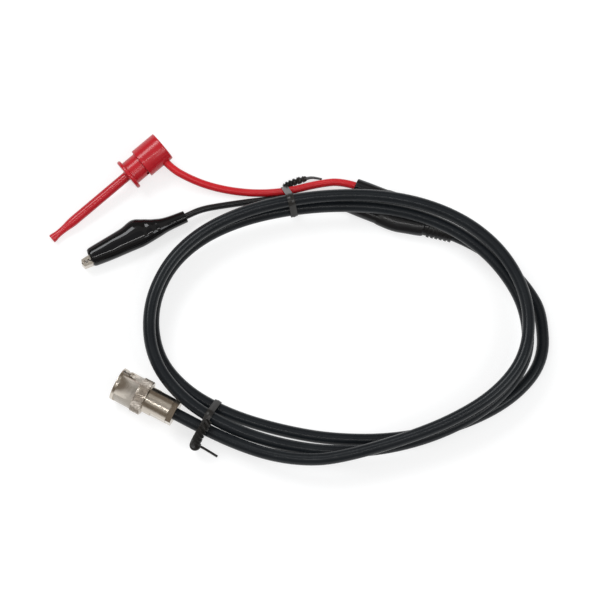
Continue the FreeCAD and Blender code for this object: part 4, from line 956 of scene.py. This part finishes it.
@dataclass
class TwistTie:
    """A flat plastic strip with a wire core, wrapped round the cords and twisted together."""

    name: str
    node: str
    origin: tuple[float, float]
    heading: float
    rope_path: Sequence[Corner]
    tail_path: Sequence[Corner]
    rope_half: float
    # How much thicker than the flat strip each half of the rope is
    fatness: float
    twists: float
    tail_half: tuple[float, float]
    # 0 lays the tail flat, 90 stands it on its edge
    tail_roll: float
    width: float = 2.7
    thickness: float = 0.55
    gap: float = 0.12
    search: float = 15.0
    band_steps: int = 120
    # How far each half of the rope lies off its middle line, for a fatness of 1
    rope_offset: float = 0.26
    # Width of the rope's ends against its middle, and how fast it widens from there
    end_share: float = 0.55
    end_growth: float = 3.0

    def middle(self) -> Vector:
        """Where the tie's upright plane is centred, in millimetres."""
        return Vector((*self.origin, 0.0)) + SHIFT

    def circles(self, cords: Sequence[tuple[list[Vector], float]]) -> list[Corner]:
        """Where the cords cross the tie's upright plane: across, height and radius, in millimetres."""
        normal, across, origin = level(self.heading), level(self.heading + 90), self.middle()
        found = []
        for line, diameter in cords:
            for before, after in zip(line, line[1:]):
                a = (before / MM - origin).dot(normal)
                b = (after / MM - origin).dot(normal)
                if a * b > 0 or a == b:
                    continue
                place = (before + (after - before) * (a / (a - b))) / MM
                sideways = (place - origin).dot(across)
                if abs(sideways) < self.search:
                    found.append((sideways, place.z, diameter / 2))
        return found

    def band(self, circles: Sequence[Corner]) -> bmesh.types.BMesh:
        """Closed strip round the cords, thicker along its middle where the wire is."""
        half = self.width / 2
        low, high = self.gap, self.gap + self.thickness
        section = ((-half, low), (-half, high * 0.8), (-0.6, high * 0.8), (-0.25, high),
                   (0.25, high), (0.6, high * 0.8), (half, high * 0.8), (half, low))
        normal, across, origin = level(self.heading), level(self.heading + 90), self.middle()
        rings = []
        for step in range(self.band_steps):
            angle = math.radians(360 // self.band_steps * step)
            out = across * math.cos(angle) + UP * math.sin(angle)
            best = max(circles, key=lambda c: c[0] * math.cos(angle) + c[1] * math.sin(angle) + c[2])
            foot = origin + across * best[0] + UP * best[1] + out * best[2]
            rings.append([foot + normal * wide + out * grow for wide, grow in section])
        return lofted_mesh(rings, looped=True)

    def rope(self, phase: float) -> bmesh.types.BMesh:
        """One end of the strip, wound round the other one; their phases are half a turn apart."""
        path = curve_through(self.rope_path, 24)
        offset = self.rope_offset * self.fatness
        rings = []
        for number, (place, side, upward) in enumerate(carried(path)):
            t = number / (len(path) - 1)
            wide, thick = rolled(side, upward, phase + math.pi * self.twists * t)
            half = self.rope_half * min(1.0, self.end_share + self.end_growth * min(t, 1 - t))
            rings.append(self.strip_ring(place + thick * offset, wide, thick, half, self.fatness))
        return lofted_mesh(rings)

    def tail(self) -> bmesh.types.BMesh:
        """The end of the strip that sticks out, narrower towards its tip."""
        path = curve_through(self.tail_path)
        rings = []
        for number, (place, side, upward) in enumerate(carried(path)):
            t = number / (len(path) - 1)
            wide, thick = rolled(side, upward, math.radians(self.tail_roll))
            half = self.tail_half[0] * (1 - t) + self.tail_half[1] * t
            rings.append(self.strip_ring(place, wide, thick, half))
        return lofted_mesh(rings)

    def strip_ring(self, place: Vector, wide: Vector, thick: Vector, half: float,
                   fat: float = 1.0) -> list[Vector]:
        """Eight-cornered section of the strip, with the wire's bulge in its middle."""
        core, skin = self.thickness * 0.5 * fat, self.thickness * 0.3 * fat
        wire = min(0.4, half * 0.6)
        section = ((half, skin), (wire, core), (-wire, core), (-half, skin),
                   (-half, -skin), (-wire, -core), (wire, -core), (half, -skin))
        return [place + wide * across + thick * up for across, up in section]

    def build(self, palette: Palette, cords: Sequence[tuple[list[Vector], float]]) -> bpy.types.Object:
        """Make the tie round its cords.

        Args:
            palette: the finishes.
            cords: the line and diameter of each cord that may pass through it.

        Returns:
            The piece.
        """
        circles = self.circles(cords)
        log.info("%s: round %d cords", self.name, len(circles))
        mesh = self.band(circles)
        for part in (self.rope(0.0), self.rope(math.pi), self.tail()):
            add_mesh(mesh, part)
        piece = to_object(self.name, mesh, Matrix.Scale(MM, 4), palette["tie_plastic"], 50.0)
        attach(piece, "lead")
        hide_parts(self.node)
        return piece


def rolled(side: Vector, upward: Vector, angle: float) -> tuple[Vector, Vector]:
    """Two directions across a path, turned about it by an angle in radians."""
    return (side * math.cos(angle) + upward * math.sin(angle),
            upward * math.cos(angle) - side * math.sin(angle))


def add_mesh(mesh: bmesh.types.BMesh, other: bmesh.types.BMesh) -> None:
    """Add another mesh's shells to a mesh, and free the other."""
    data = bpy.data.meshes.new("part")
    other.to_mesh(data)
    other.free()
    mesh.from_mesh(data)
    bpy.data.meshes.remove(data)


# Splitter


@dataclass
class Splitter:
    """Flattened moulding with a ribbed strain relief behind and two tubular arms in front."""

    palette: Palette
    rows: RowTree
    tail_radius: float = 3.5
    tail_length: float = 11.7
    rib_count: int = 6
    rib_width: float = 1.15
    rib_depth: float = 0.6
    shoulder: float = 5.4
    body_width: float = 7.7
    body_height: float = 3.7
    body_end: float = 31.7
    arm_radius: float = 3.0
    cable_bore: float = 2.55
    lead_bores: tuple[float, float] = (1.63, 1.38)

    def body_mesh(self) -> bmesh.types.BMesh:
        """The flattened middle, crowned towards the arms."""
        stations = [
            (self.tail_length - 0.4, self.shoulder - 0.5, self.body_height - 0.6),
            (self.tail_length + 0.3, self.shoulder, self.body_height - 0.1),
            (17.3, 6.6, self.body_height), (23.0, self.body_width, self.body_height),
            (29.0, self.body_width, self.body_height),
            (self.body_end - 0.4, self.body_width - 0.35, self.body_height - 0.25),
            (self.body_end, self.body_width - 0.9, self.body_height - 0.8)]
        rings = [oval_ring(x, 0.0, wide, high, 2.25) for x, wide, high in through(stations, 60)]
        return lofted_mesh(rings)

    def core_mesh(self) -> bmesh.types.BMesh:
        """The tail inside its ribs, with the cable's bore."""
        inner = self.cable_bore
        root = self.tail_radius - self.rib_depth * 0.75
        return lofted_mesh([
            oval_ring(0.4, 0.0, inner, inner), oval_ring(0.0, 0.0, inner, inner),
            oval_ring(0.0, 0.0, root, root),
            oval_ring(self.tail_length, 0.0, self.shoulder - self.rib_depth,
                      self.body_height - self.rib_depth)])

    def arm_mesh(self, side: int) -> bmesh.types.BMesh:
        """One tubular arm with its rounded mouth."""
        bore = self.lead_bores[0 if side < 0 else 1]
        start, end, radius = self.body_end - 3, ARM_END, self.arm_radius
        mesh = turned_mesh(rounded_outline([
            (start, bore, 0), (start, radius, 0), (end - 5, radius, 1.0), (end, radius - 0.12, 0.45),
            (end, bore, 0.15)]), 64)
        bmesh.ops.translate(mesh, verts=mesh.verts, vec=(0.0, side * ARM_SPACING, 0.0))
        return mesh

    def build(self) -> list[bpy.types.Object]:
        """Make the moulding and its ribs."""
        finish = self.palette["black_moulding"]
        mesh = self.body_mesh()
        for part in (self.core_mesh(), self.arm_mesh(-1), self.arm_mesh(1)):
            add_mesh(mesh, part)
        housing = to_object("splitter_moulding", mesh, SPLITTER.matrix(), finish, 40.0)
        rib = turned_mesh(rounded_outline([
            (0, 0, 0), (0, 1.0, 0.09), (self.rib_width, 1.0, 0.09), (self.rib_width, 0, 0)], 3), 64)
        ribs = to_object("splitter_ribs", rib, Matrix.Identity(4), finish, 40.0)
        step = (self.tail_length - self.rib_width) / self.rib_count
        grow = ((self.shoulder - self.tail_radius) / self.tail_length * step,
                (self.body_height - self.tail_radius) / self.tail_length * step)
        self.rows.grow(
            ribs, finish, Count=self.rib_count, Start=(0.0, 0.0, 0.0), Step=(step, 0.0, 0.0),
            First_Size=(1.0, self.tail_radius, self.tail_radius), Size_Step=(0.0, *grow))
        ribs.data.transform(SPLITTER.matrix())
        smooth(ribs, 40.0)
        for piece in (housing, ribs):
            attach(piece, "lead")
        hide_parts("junction_housing")
        return [housing, ribs]


# Hook grabber


@dataclass
class Grabber:
    """Plunger grabber: a red barrel that slides back over a hook wire, under a fixed cap."""

    palette: Palette
    springs: SpringTree
    flange_x: float = 39.5
    flange_radius: float = 6.7
    flange_length: float = 1.5
    grip_radius: float = 5.1
    grip_bore: float = 4.3
    grip_end: float = 49.5
    slot_start: float = 46.0
    slot_width: float = 3.7
    cap_front: float = 47.0
    cap_end: float = 58.2
    cap_radius: float = 6.3
    cap_bore: float = 5.4
    cap_wall: float = 1.5
    notch_x: float = 54.7
    lead_radius: float = 1.63
    wire_radius: float = 0.35
    hook_bend: float = 0.42
    hook_inset: float = 0.4
    ferrule_front: float = 52.0

    def barrel(self) -> bpy.types.Object:
        """Barrel: nose tube, thumb flange and grip, with the lead's slot."""
        flange_end = self.flange_x + self.flange_length
        mesh = turned_mesh(rounded_outline([
            (0, 1.4, 0.12), (0, 1.8, 0.3), (1.0, 1.8, 0.6), (3.2, 1.4, 1.2), (6.6, 1.5, 1.6),
            (10.3, 2.0, 1.8), (self.flange_x, 2.0, 0.7), (self.flange_x, self.flange_radius, 0.62),
            (flange_end, self.flange_radius, 0.62), (flange_end, self.grip_radius, 0.25),
            (self.grip_end, self.grip_radius, 0.25), (self.grip_end, self.grip_bore, 0.12),
            (flange_end + 1, self.grip_bore, 0.3), (flange_end + 1, 0.8, 0.1), (3.0, 0.8, 0.1),
            (2.4, 1.4, 0.1)]))
        piece = to_object("grabber_sliding_barrel", mesh, GRABBER.matrix(), self.palette["red_nylon"])
        half = self.slot_width / 2
        slot = box_mesh((self.slot_start, -8.0, -half), (self.grip_end + 1, 0.0, half))
        cut_away(piece, [slot], GRABBER.matrix())
        smooth(piece)
        return piece

    def cap(self) -> bpy.types.Object:
        """Cap: the button that the thumb flange is pulled towards, with the lead's hole."""
        floor = self.cap_end - self.cap_wall
        mesh = turned_mesh(rounded_outline([
            (self.cap_front, self.cap_bore, 0.1), (self.cap_front, self.cap_radius, 0.28),
            (self.cap_end, self.cap_radius, 0.55), (self.cap_end, 0, 0), (floor, 0, 0),
            (floor, self.cap_bore, 0.3)]))
        piece = to_object("grabber_button_cap", mesh, GRABBER.matrix(), self.palette["red_nylon"])
        hole = turned_mesh([(0, 0), (0, self.lead_radius), (9, self.lead_radius), (9, 0)], 48)
        turn = Matrix.Translation((self.notch_x, 0, 0)) @ Matrix.Rotation(-math.pi / 2, 4, "Z")
        bmesh.ops.transform(hole, matrix=turn, verts=hole.verts)
        cut_away(piece, [hole], GRABBER.matrix())
        smooth(piece)
        return piece

    def hook(self) -> bpy.types.Object:
        """Hook wire with its small return bend in the nose."""
        bend = self.hook_bend
        tip = self.hook_inset + bend + self.wire_radius
        path = [Vector((self.notch_x - 0.05 - 3 * step, 0, 0)) for step in range(18)]
        for step in range(9):
            angle = math.pi * step / 8
            path.append(Vector((tip - bend * math.sin(angle), 0, bend - bend * math.cos(angle))))
        path.append(Vector((tip + 1.0, 0, 2 * bend)))
        return to_object("grabber_hook_wire", tube_mesh(path, self.wire_radius, 12),
                         GRABBER.matrix(), self.palette["gold"])

    def spring(self) -> bpy.types.Object:
        """Return spring between the barrel's floor and the ferrule's collar."""
        start = self.flange_x + self.flange_length + 1.4
        length = self.ferrule_front - 0.4 - start
        piece = empty_piece("grabber_return_spring", self.palette["steel"])
        self.springs.grow(piece, self.palette["steel"], Turns=5.0, Radius=3.4, Length=length,
                          Start=start, Wire=0.3)
        piece.data.transform(GRABBER.matrix())
        smooth(piece, 60.0)
        return piece

    def build(self) -> list[bpy.types.Object]:
        """Make the grabber's pieces and put each on its body."""
        barrel, cap, hook, spring = self.barrel(), self.cap(), self.hook(), self.spring()
        for piece, node, body, slot in (
                (barrel, "grabber_barrel", "grabber_slider", "red_nylon"),
                (cap, "grabber_cap", "lead", "red_nylon"), (hook, "grabber_hook", "lead", "gold"),
                (spring, "grabber_spring", "lead", "steel")):
            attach(piece, body)
            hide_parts(node)
        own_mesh(spring)
        return [barrel, cap, hook, spring]


def empty_piece(name: str, material: bpy.types.Material) -> bpy.types.Object:
    """Object with an empty mesh, for a tree that makes the whole shape."""
    return to_object(name, bmesh.new(), Matrix.Identity(4), material)


# Clip


@dataclass
class ClipBoot:
    """Soft dipped boot over the clip: humped over the lever, drawn down to a sleeve on the lead."""

    palette: Palette
    wall: float = 0.55
    stations: Sequence[tuple[float, float, float, float]] = (
        (4.1, 1.2, 3.3, 3.35), (4.45, 1.2, 3.65, 3.55), (5.3, 1.2, 3.95, 3.72), (12.0, 1.3, 4.6, 3.95),
        (20.0, 1.6, 5.2, 3.95), (26.0, 2.1, 5.9, 3.9), (33.0, 0.9, 4.0, 3.5), (37.5, 0.4, 2.95, 2.85),
        (45.8, 0.0, 2.45, 2.45))
    # Place along, angle round, depth, half length and half width of each crease, in mm and degrees
    creases: Sequence[tuple[float, float, float, float, float]] = (
        (29.0, 60.0, 0.35, 1.1, 50.0), (33.0, 100.0, 0.25, 0.9, 60.0), (15.0, 110.0, 0.2, 3.0, 40.0))

    def mesh(self) -> bmesh.types.BMesh:
        """The boot's skin with its thickness: outside, front rim, inside and rear rim."""
        rows = through(self.stations, 90)
        rear = self.stations[-1][0]
        rings = []
        for x, middle, wide, high in rows:
            ring = oval_ring(x, middle, wide, high, 2.1, 64)
            rings.append([self.dented(x, middle, point) for point in ring])
        for x, middle, wide, high in reversed(rows):
            thin = self.wall * min(1.0, max(0.35, (rear - x) / 6))
            rings.append(oval_ring(x, middle, wide - thin, high - thin, 2.1, 64))
        return lofted_mesh(rings, looped=True)

    def dented(self, x: float, middle: float, point: Vector) -> Vector:
        """Move a point of the outside inwards where a crease runs."""
        angle = math.degrees(math.atan2(point.z, point.y - middle))
        depth = 0.0
        for place, around, deep, long, wide in self.creases:
            off = (angle - around + 180) % 360 - 180
            depth += deep * math.exp(-((x - place) / long) ** 2 - (off / wide) ** 2)
        centre = Vector((x, middle, 0.0))
        outward = point - centre
        return centre + outward * (1 - depth / max(outward.length, 1e-6))

    def build(self) -> bpy.types.Object:
        """Make the boot."""
        piece = to_object("clip_soft_boot", self.mesh(), CLIP.matrix(), self.palette["soft_vinyl"], 60.0)
        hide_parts("clip_boot")
        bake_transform(piece)
        return piece


# Plug


def turned_copy(name: str, node: bpy.types.Object, frame: LocalFrame, turn: float,
                material: bpy.types.Material) -> bpy.types.Object:
    """Copy of a node's shape, turned about a frame's X axis.

    Args:
        name: the new piece's name.
        node: the node that is copied.
        frame: the frame whose X axis it turns about.
        turn: the angle, in degrees.
        material: its finish.

    Returns:
        The piece.
    """
    mesh = bmesh.new()
    mesh.from_mesh(node.data)
    bmesh.ops.remove_doubles(mesh, verts=mesh.verts, dist=1e-6)
    middle = Matrix.Translation(frame.point(0.0))
    place = middle @ Matrix.Rotation(math.radians(turn), 4, frame.axis()) @ middle.inverted()
    piece = to_object(name, mesh, place, material, 30.0)
    if "custom_normal" in piece.data.attributes:
        piece.data.attributes.remove(piece.data.attributes["custom_normal"])
    return piece


def soft_springs(nodes: dict, palette: Palette) -> list[bpy.types.Object]:
    """Copies of the two springs that the joints press.

    Args:
        nodes: the frame's nodes by name.
        palette: the finishes.

    Returns:
        The wave spring of the plug and the torsion spring of the clip.
    """
    wave = turned_copy("coupling_wave_spring", nodes["bnc_wave_spring"], PLUG, 0.0, palette["steel"])
    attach(wave, "lead")
    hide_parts("bnc_wave_spring")
    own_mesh(wave)
    torsion = turned_copy("clip_wound_spring", nodes["clip_torsion_spring"], CLIP, 0.0, palette["steel"])
    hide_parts("clip_torsion_spring")
    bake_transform(torsion)
    return [wave, torsion]


@dataclass
class PlugRing:
    """The coupling ring: its sleeve, the knurl's small diamonds in staggered rings, and the front lip."""

    palette: Palette
    rings: RingTree
    radius: float = 6.98
    start: float = 9.45
    end: float = 12.85
    around: int = 60
    rows: int = 7
    height: float = 0.27
    sleeve_turn: float = 45.0
    lip_radius: float = 6.78
    lip_length: float = 1.3
    lip_bore: float = 6.15
    tooth_root: float = -0.05

    def pitch(self) -> float:
        """Distance from one ring of diamonds to the next."""
        return (self.end - self.start) / (self.rows - 1)

    def tooth(self) -> bmesh.types.BMesh:
        """One diamond, standing along local +Y on the ring."""
        pitch, root = self.pitch(), self.tooth_root
        half = math.pi * self.radius / self.around
        mesh = bmesh.new()
        corners = [mesh.verts.new(place) for place in (
            (-pitch, root, 0.0), (0.0, root, -half), (pitch, root, 0.0), (0.0, root, half))]
        top = mesh.verts.new((0.0, self.height, 0.0))
        for number in range(4):
            mesh.faces.new((corners[number], corners[(number + 1) % 4], top))
        mesh.faces.new(corners)
        bmesh.ops.recalc_face_normals(mesh, faces=mesh.faces)
        return mesh

    def sink_ring(self, sleeve: bpy.types.Object) -> None:
        """Draw the ring's outside in to the bottom of the knurl, so that the teeth end at its true size."""
        to_local = PLUG.matrix().inverted()
        for vertex in sleeve.data.vertices:
            local = to_local @ vertex.co
            reach = math.hypot(local.y, local.z)
            if reach > self.radius:
                local.yz = Vector((local.y, local.z)) * (self.radius / reach)
                vertex.co = PLUG.matrix() @ local

    def build(self, node: bpy.types.Object) -> list[bpy.types.Object]:
        """Make the knurl and the sleeve that carries it, with its slots where the picture shows them.

        Args:
            node: the sleeve's node.

        Returns:
            The knurl, the sleeve and its lip.
        """
        finish = self.palette["knurled_nickel"]
        piece = to_object("coupling_knurl", self.tooth(), Matrix.Identity(4), finish)
        self.rings.grow(
            piece, finish, Around=self.around, Rings=self.rows, Radius=self.radius, Start=self.start,
            Pitch=self.pitch())
        piece.data.transform(PLUG.matrix())
        sleeve = turned_copy("coupling_sleeve", node, PLUG, self.sleeve_turn, self.palette["nickel"])
        self.sink_ring(sleeve)
        lip = to_object("coupling_lip", turned_mesh(rounded_outline([
            (-0.03, self.lip_bore, 0.1), (-0.03, self.lip_radius, 0.25),
            (self.lip_length, self.lip_radius, 0.1), (self.lip_length, self.lip_bore, 0.1)])),
            PLUG.matrix(), self.palette["nickel"])
        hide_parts("bnc_coupling_sleeve")
        for part in (piece, sleeve, lip):
            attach(part, "coupling_ring")
        return [piece, sleeve, lip]


# Studio


@dataclass
class Studio:
    """Pale floor, soft lamps, white surroundings and the camera of the picture."""

    # Name, radius and height of both rims, and colour of each band that only gloss sees
    CARDS = (
        ("low_card", ((1.5, 0.25), (1.5, 1.7)), (0.2, 0.17, 0.14)),
        ("middle_card", ((1.5, 1.7), (0.6, 2.4)), (0.5, 0.48, 0.45)),
        ("top_card", ((0.6, 2.4), (0.001, 2.4)), (0.28, 0.27, 0.26)))
    CARD_SIDES = 48
    elevation: float = 76.0
    distance: float = 1.6
    pixels: float = 598.0
    focal_pixels: float = 4000.0
    sensor: float = 36.0
    surround: float = 0.62
    floor_seen: float = 0.4
    floor_glow: float = 0.66

    def floor(self) -> None:
        """Large white floor that the object lies on."""
        mesh = bmesh.new()
        bmesh.ops.create_grid(mesh, x_segments=2, y_segments=2, size=4.0)
        material = bpy.data.materials.new("studio_floor")
        sheet = fresh_sheet(material)
        seen = shown_rays(sheet)
        mix = sheet.add("ShaderNodeMix", {
            "Factor": seen, MIX_FIRST: (0.86, 0.86, 0.86, 1.0),
            MIX_SECOND: (self.floor_seen, self.floor_seen, self.floor_seen, 1.0)}, data_type="RGBA")
        shader = sheet.add("ShaderNodeBsdfPrincipled", {
            "Roughness": 0.9, "Emission Color": (1.0, 1.0, 1.0, 1.0),
            "Emission Strength": sheet.math("MULTIPLY", seen, self.floor_glow),
            "Base Color": mix.outputs[MIX_RESULT]})
        sheet.add("ShaderNodeOutputMaterial", {"Surface": shader.outputs["BSDF"]})
        piece = to_object("studio_floor", mesh, Matrix.Identity(4), material)

    def card(self, name: str, mesh: bmesh.types.BMesh, colour: Corner) -> None:
        """Card that only gloss sees, so that metal has something dark to show.

        Args:
            name: its name.
            mesh: its shape, in metres; it is freed.
            colour: how bright each channel of it looks.
        """
        material = bpy.data.materials.new(name)
        sheet = fresh_sheet(material)
        glow = sheet.add("ShaderNodeEmission", {"Color": (*colour, 1.0)})
        sheet.add("ShaderNodeOutputMaterial", {"Surface": glow.outputs[0]})
        piece = to_object(name, mesh, Matrix.Identity(4), material)
        piece.visible_camera = piece.visible_diffuse = piece.visible_shadow = False
        piece.visible_transmission = piece.visible_volume_scatter = False

    def cards(self) -> None:
        """Dark, middling and grey bands round and over the object."""
        angles = [math.radians(360 / self.CARD_SIDES * number) for number in range(self.CARD_SIDES)]
        for name, rims, colour in self.CARDS:
            mesh = bmesh.new()
            rows = [[mesh.verts.new((radius * math.cos(a), radius * math.sin(a), height)) for a in angles]
                    for radius, height in rims]
            join_rings(mesh, *rows)
            self.card(name, mesh, colour)

    def world(self) -> None:
        """Even surroundings, white where the camera or a gloss sees them."""
        world = bpy.data.worlds.new("studio")
        bpy.context.scene.world = world
        sheet = fresh_sheet(world)
        surround, white = (sheet.add("ShaderNodeBackground", {"Strength": strength}).outputs[0]
                           for strength in (self.surround, 1.0))
        mix = sheet.add("ShaderNodeMixShader", {0: shown_rays(sheet), 1: surround, 2: white})
        sheet.add("ShaderNodeOutputWorld", {"Surface": mix.outputs[0]})

    def lamp(self, name: str, place: Corner, size: tuple[float, float], power: float,
             colour: Corner) -> None:
        """Rectangular soft lamp that points at the object.

        Args:
            name: its name.
            place: where it hangs, in metres.
            size: its width and height, in metres.
            power: its power, in watts.
            colour: its colour.
        """
        data = bpy.data.lights.new(name, "AREA")
        data.shape = "RECTANGLE"
        data.size, data.size_y = size
        data.energy = power
        data.color = colour
        lamp = bpy.data.objects.new(name, data)
        lamp.location = place
        lamp.rotation_euler = (-Vector(place)).to_track_quat("-Z", "Y").to_euler()
        lamp.visible_camera = False
        bpy.context.scene.collection.objects.link(lamp)

    def camera(self) -> None:
        """Camera at the picture's angle, looking at the middle of the lead."""
        data = bpy.data.cameras.new("camera")
        data.sensor_width = self.sensor
        data.lens = self.focal_pixels / self.pixels * self.sensor
        data.clip_end = 20.0
        lift = math.radians(self.elevation)
        target = SHIFT * MM
        camera = bpy.data.objects.new("camera", data)
        camera.location = target + Vector((0.0, -math.cos(lift), math.sin(lift))) * self.distance
        camera.rotation_euler = (math.pi / 2 - lift, 0.0, 0.0)
        bpy.context.scene.collection.objects.link(camera)
        bpy.context.scene.camera = camera

    def build(self) -> None:
        """Set up everything round the object."""
        self.floor()
        self.world()
        self.cards()
        self.camera()
        self.lamp("key_softbox", (-0.7, 0.7, 1.3), (0.9, 0.5), 11.0, (0.96, 0.98, 1.0))
        self.lamp("fill_softbox", (0.9, -0.5, 1.2), (0.7, 0.5), 5.5, (0.95, 0.98, 1.0))
        self.lamp("strip_light", (0.0, -0.3, 1.1), (0.7, 0.04), 1.5, (1.0, 0.99, 0.98))
        bpy.context.scene.view_settings.view_transform = "Standard"


def dress_nodes(frame: dict, palette: Palette) -> None:
    """Give every piece that came from the model the finish of its slot.

    Args:
        palette: the finishes.
    """
    for entry in frame["record"]["subparts"]:
        node = frame["nodes"][entry["node"]]
        node.data.materials.clear()
        node.data.materials.append(palette[entry["material_slot"]])
        smooth(node, 30.0)


def main() -> None:
    """Build the whole picture and report each piece."""
    logging.basicConfig(level=logging.INFO, format="%(message)s")
    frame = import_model()
    palette = Palette()
    dress_nodes(frame, palette)
    Studio().build()
    coil, leads = CableCoil(palette), Leads(palette)
    coax = coil.build()
    red, black = leads.build()
    log.info("cords laid")
    lines = [(cord_line(coax), coil.diameter), (cord_line(red), leads.red_diameter),
             (cord_line(black), leads.black_diameter)]
    TwistTie("upper_twist_tie", "twist_tie_upper", origin=(-3.53, 37.68), heading=16.7,
             rope_path=((-6.1, 45.6, 2.6), (-4.4, 46.9, 2.4), (-1.2, 48.3, 2.0), (2.9, 49.6, 1.7)),
             tail_path=((2.6, 49.5, 1.7), (5.5, 50.0, 1.4), (9.2, 49.4, 1.3)),
             rope_half=1.3, fatness=1.7, twists=6.5, tail_half=(1.25, 0.7), tail_roll=50.0,
             ).build(palette, lines)
    TwistTie("lower_twist_tie", "twist_tie_lower", origin=(-34.9, -48.5), heading=-27.0,
             rope_path=((-39.3, -57.2, 5.0), (-40.7, -60.3, 3.4), (-41.2, -61.0, 6.6),
                        (-40.0, -59.2, 10.0), (-38.0, -56.3, 12.5), (-35.4, -52.6, 13.0)),
             tail_path=((-41.2, -60.4, 2.6), (-38.9, -60.6, 1.3), (-32.3, -64.5, 0.8)),
             rope_half=1.75, fatness=2.4, twists=13.0, tail_half=(0.5, 0.45), tail_roll=0.0,
             ).build(palette, lines[:1])
    pieces = [*Splitter(palette, RowTree()).build(), *Grabber(palette, SpringTree()).build(),
              ClipBoot(palette).build(),
              *PlugRing(palette, RingTree()).build(frame["nodes"]["bnc_coupling_sleeve"]),
              *soft_springs(frame["nodes"], palette)]
    for piece in pieces:
        log.info("%s: %d faces", piece.name, len(piece.data.polygons))
    bpy.context.view_layer.update()


if __name__ == "__main__":
    main()
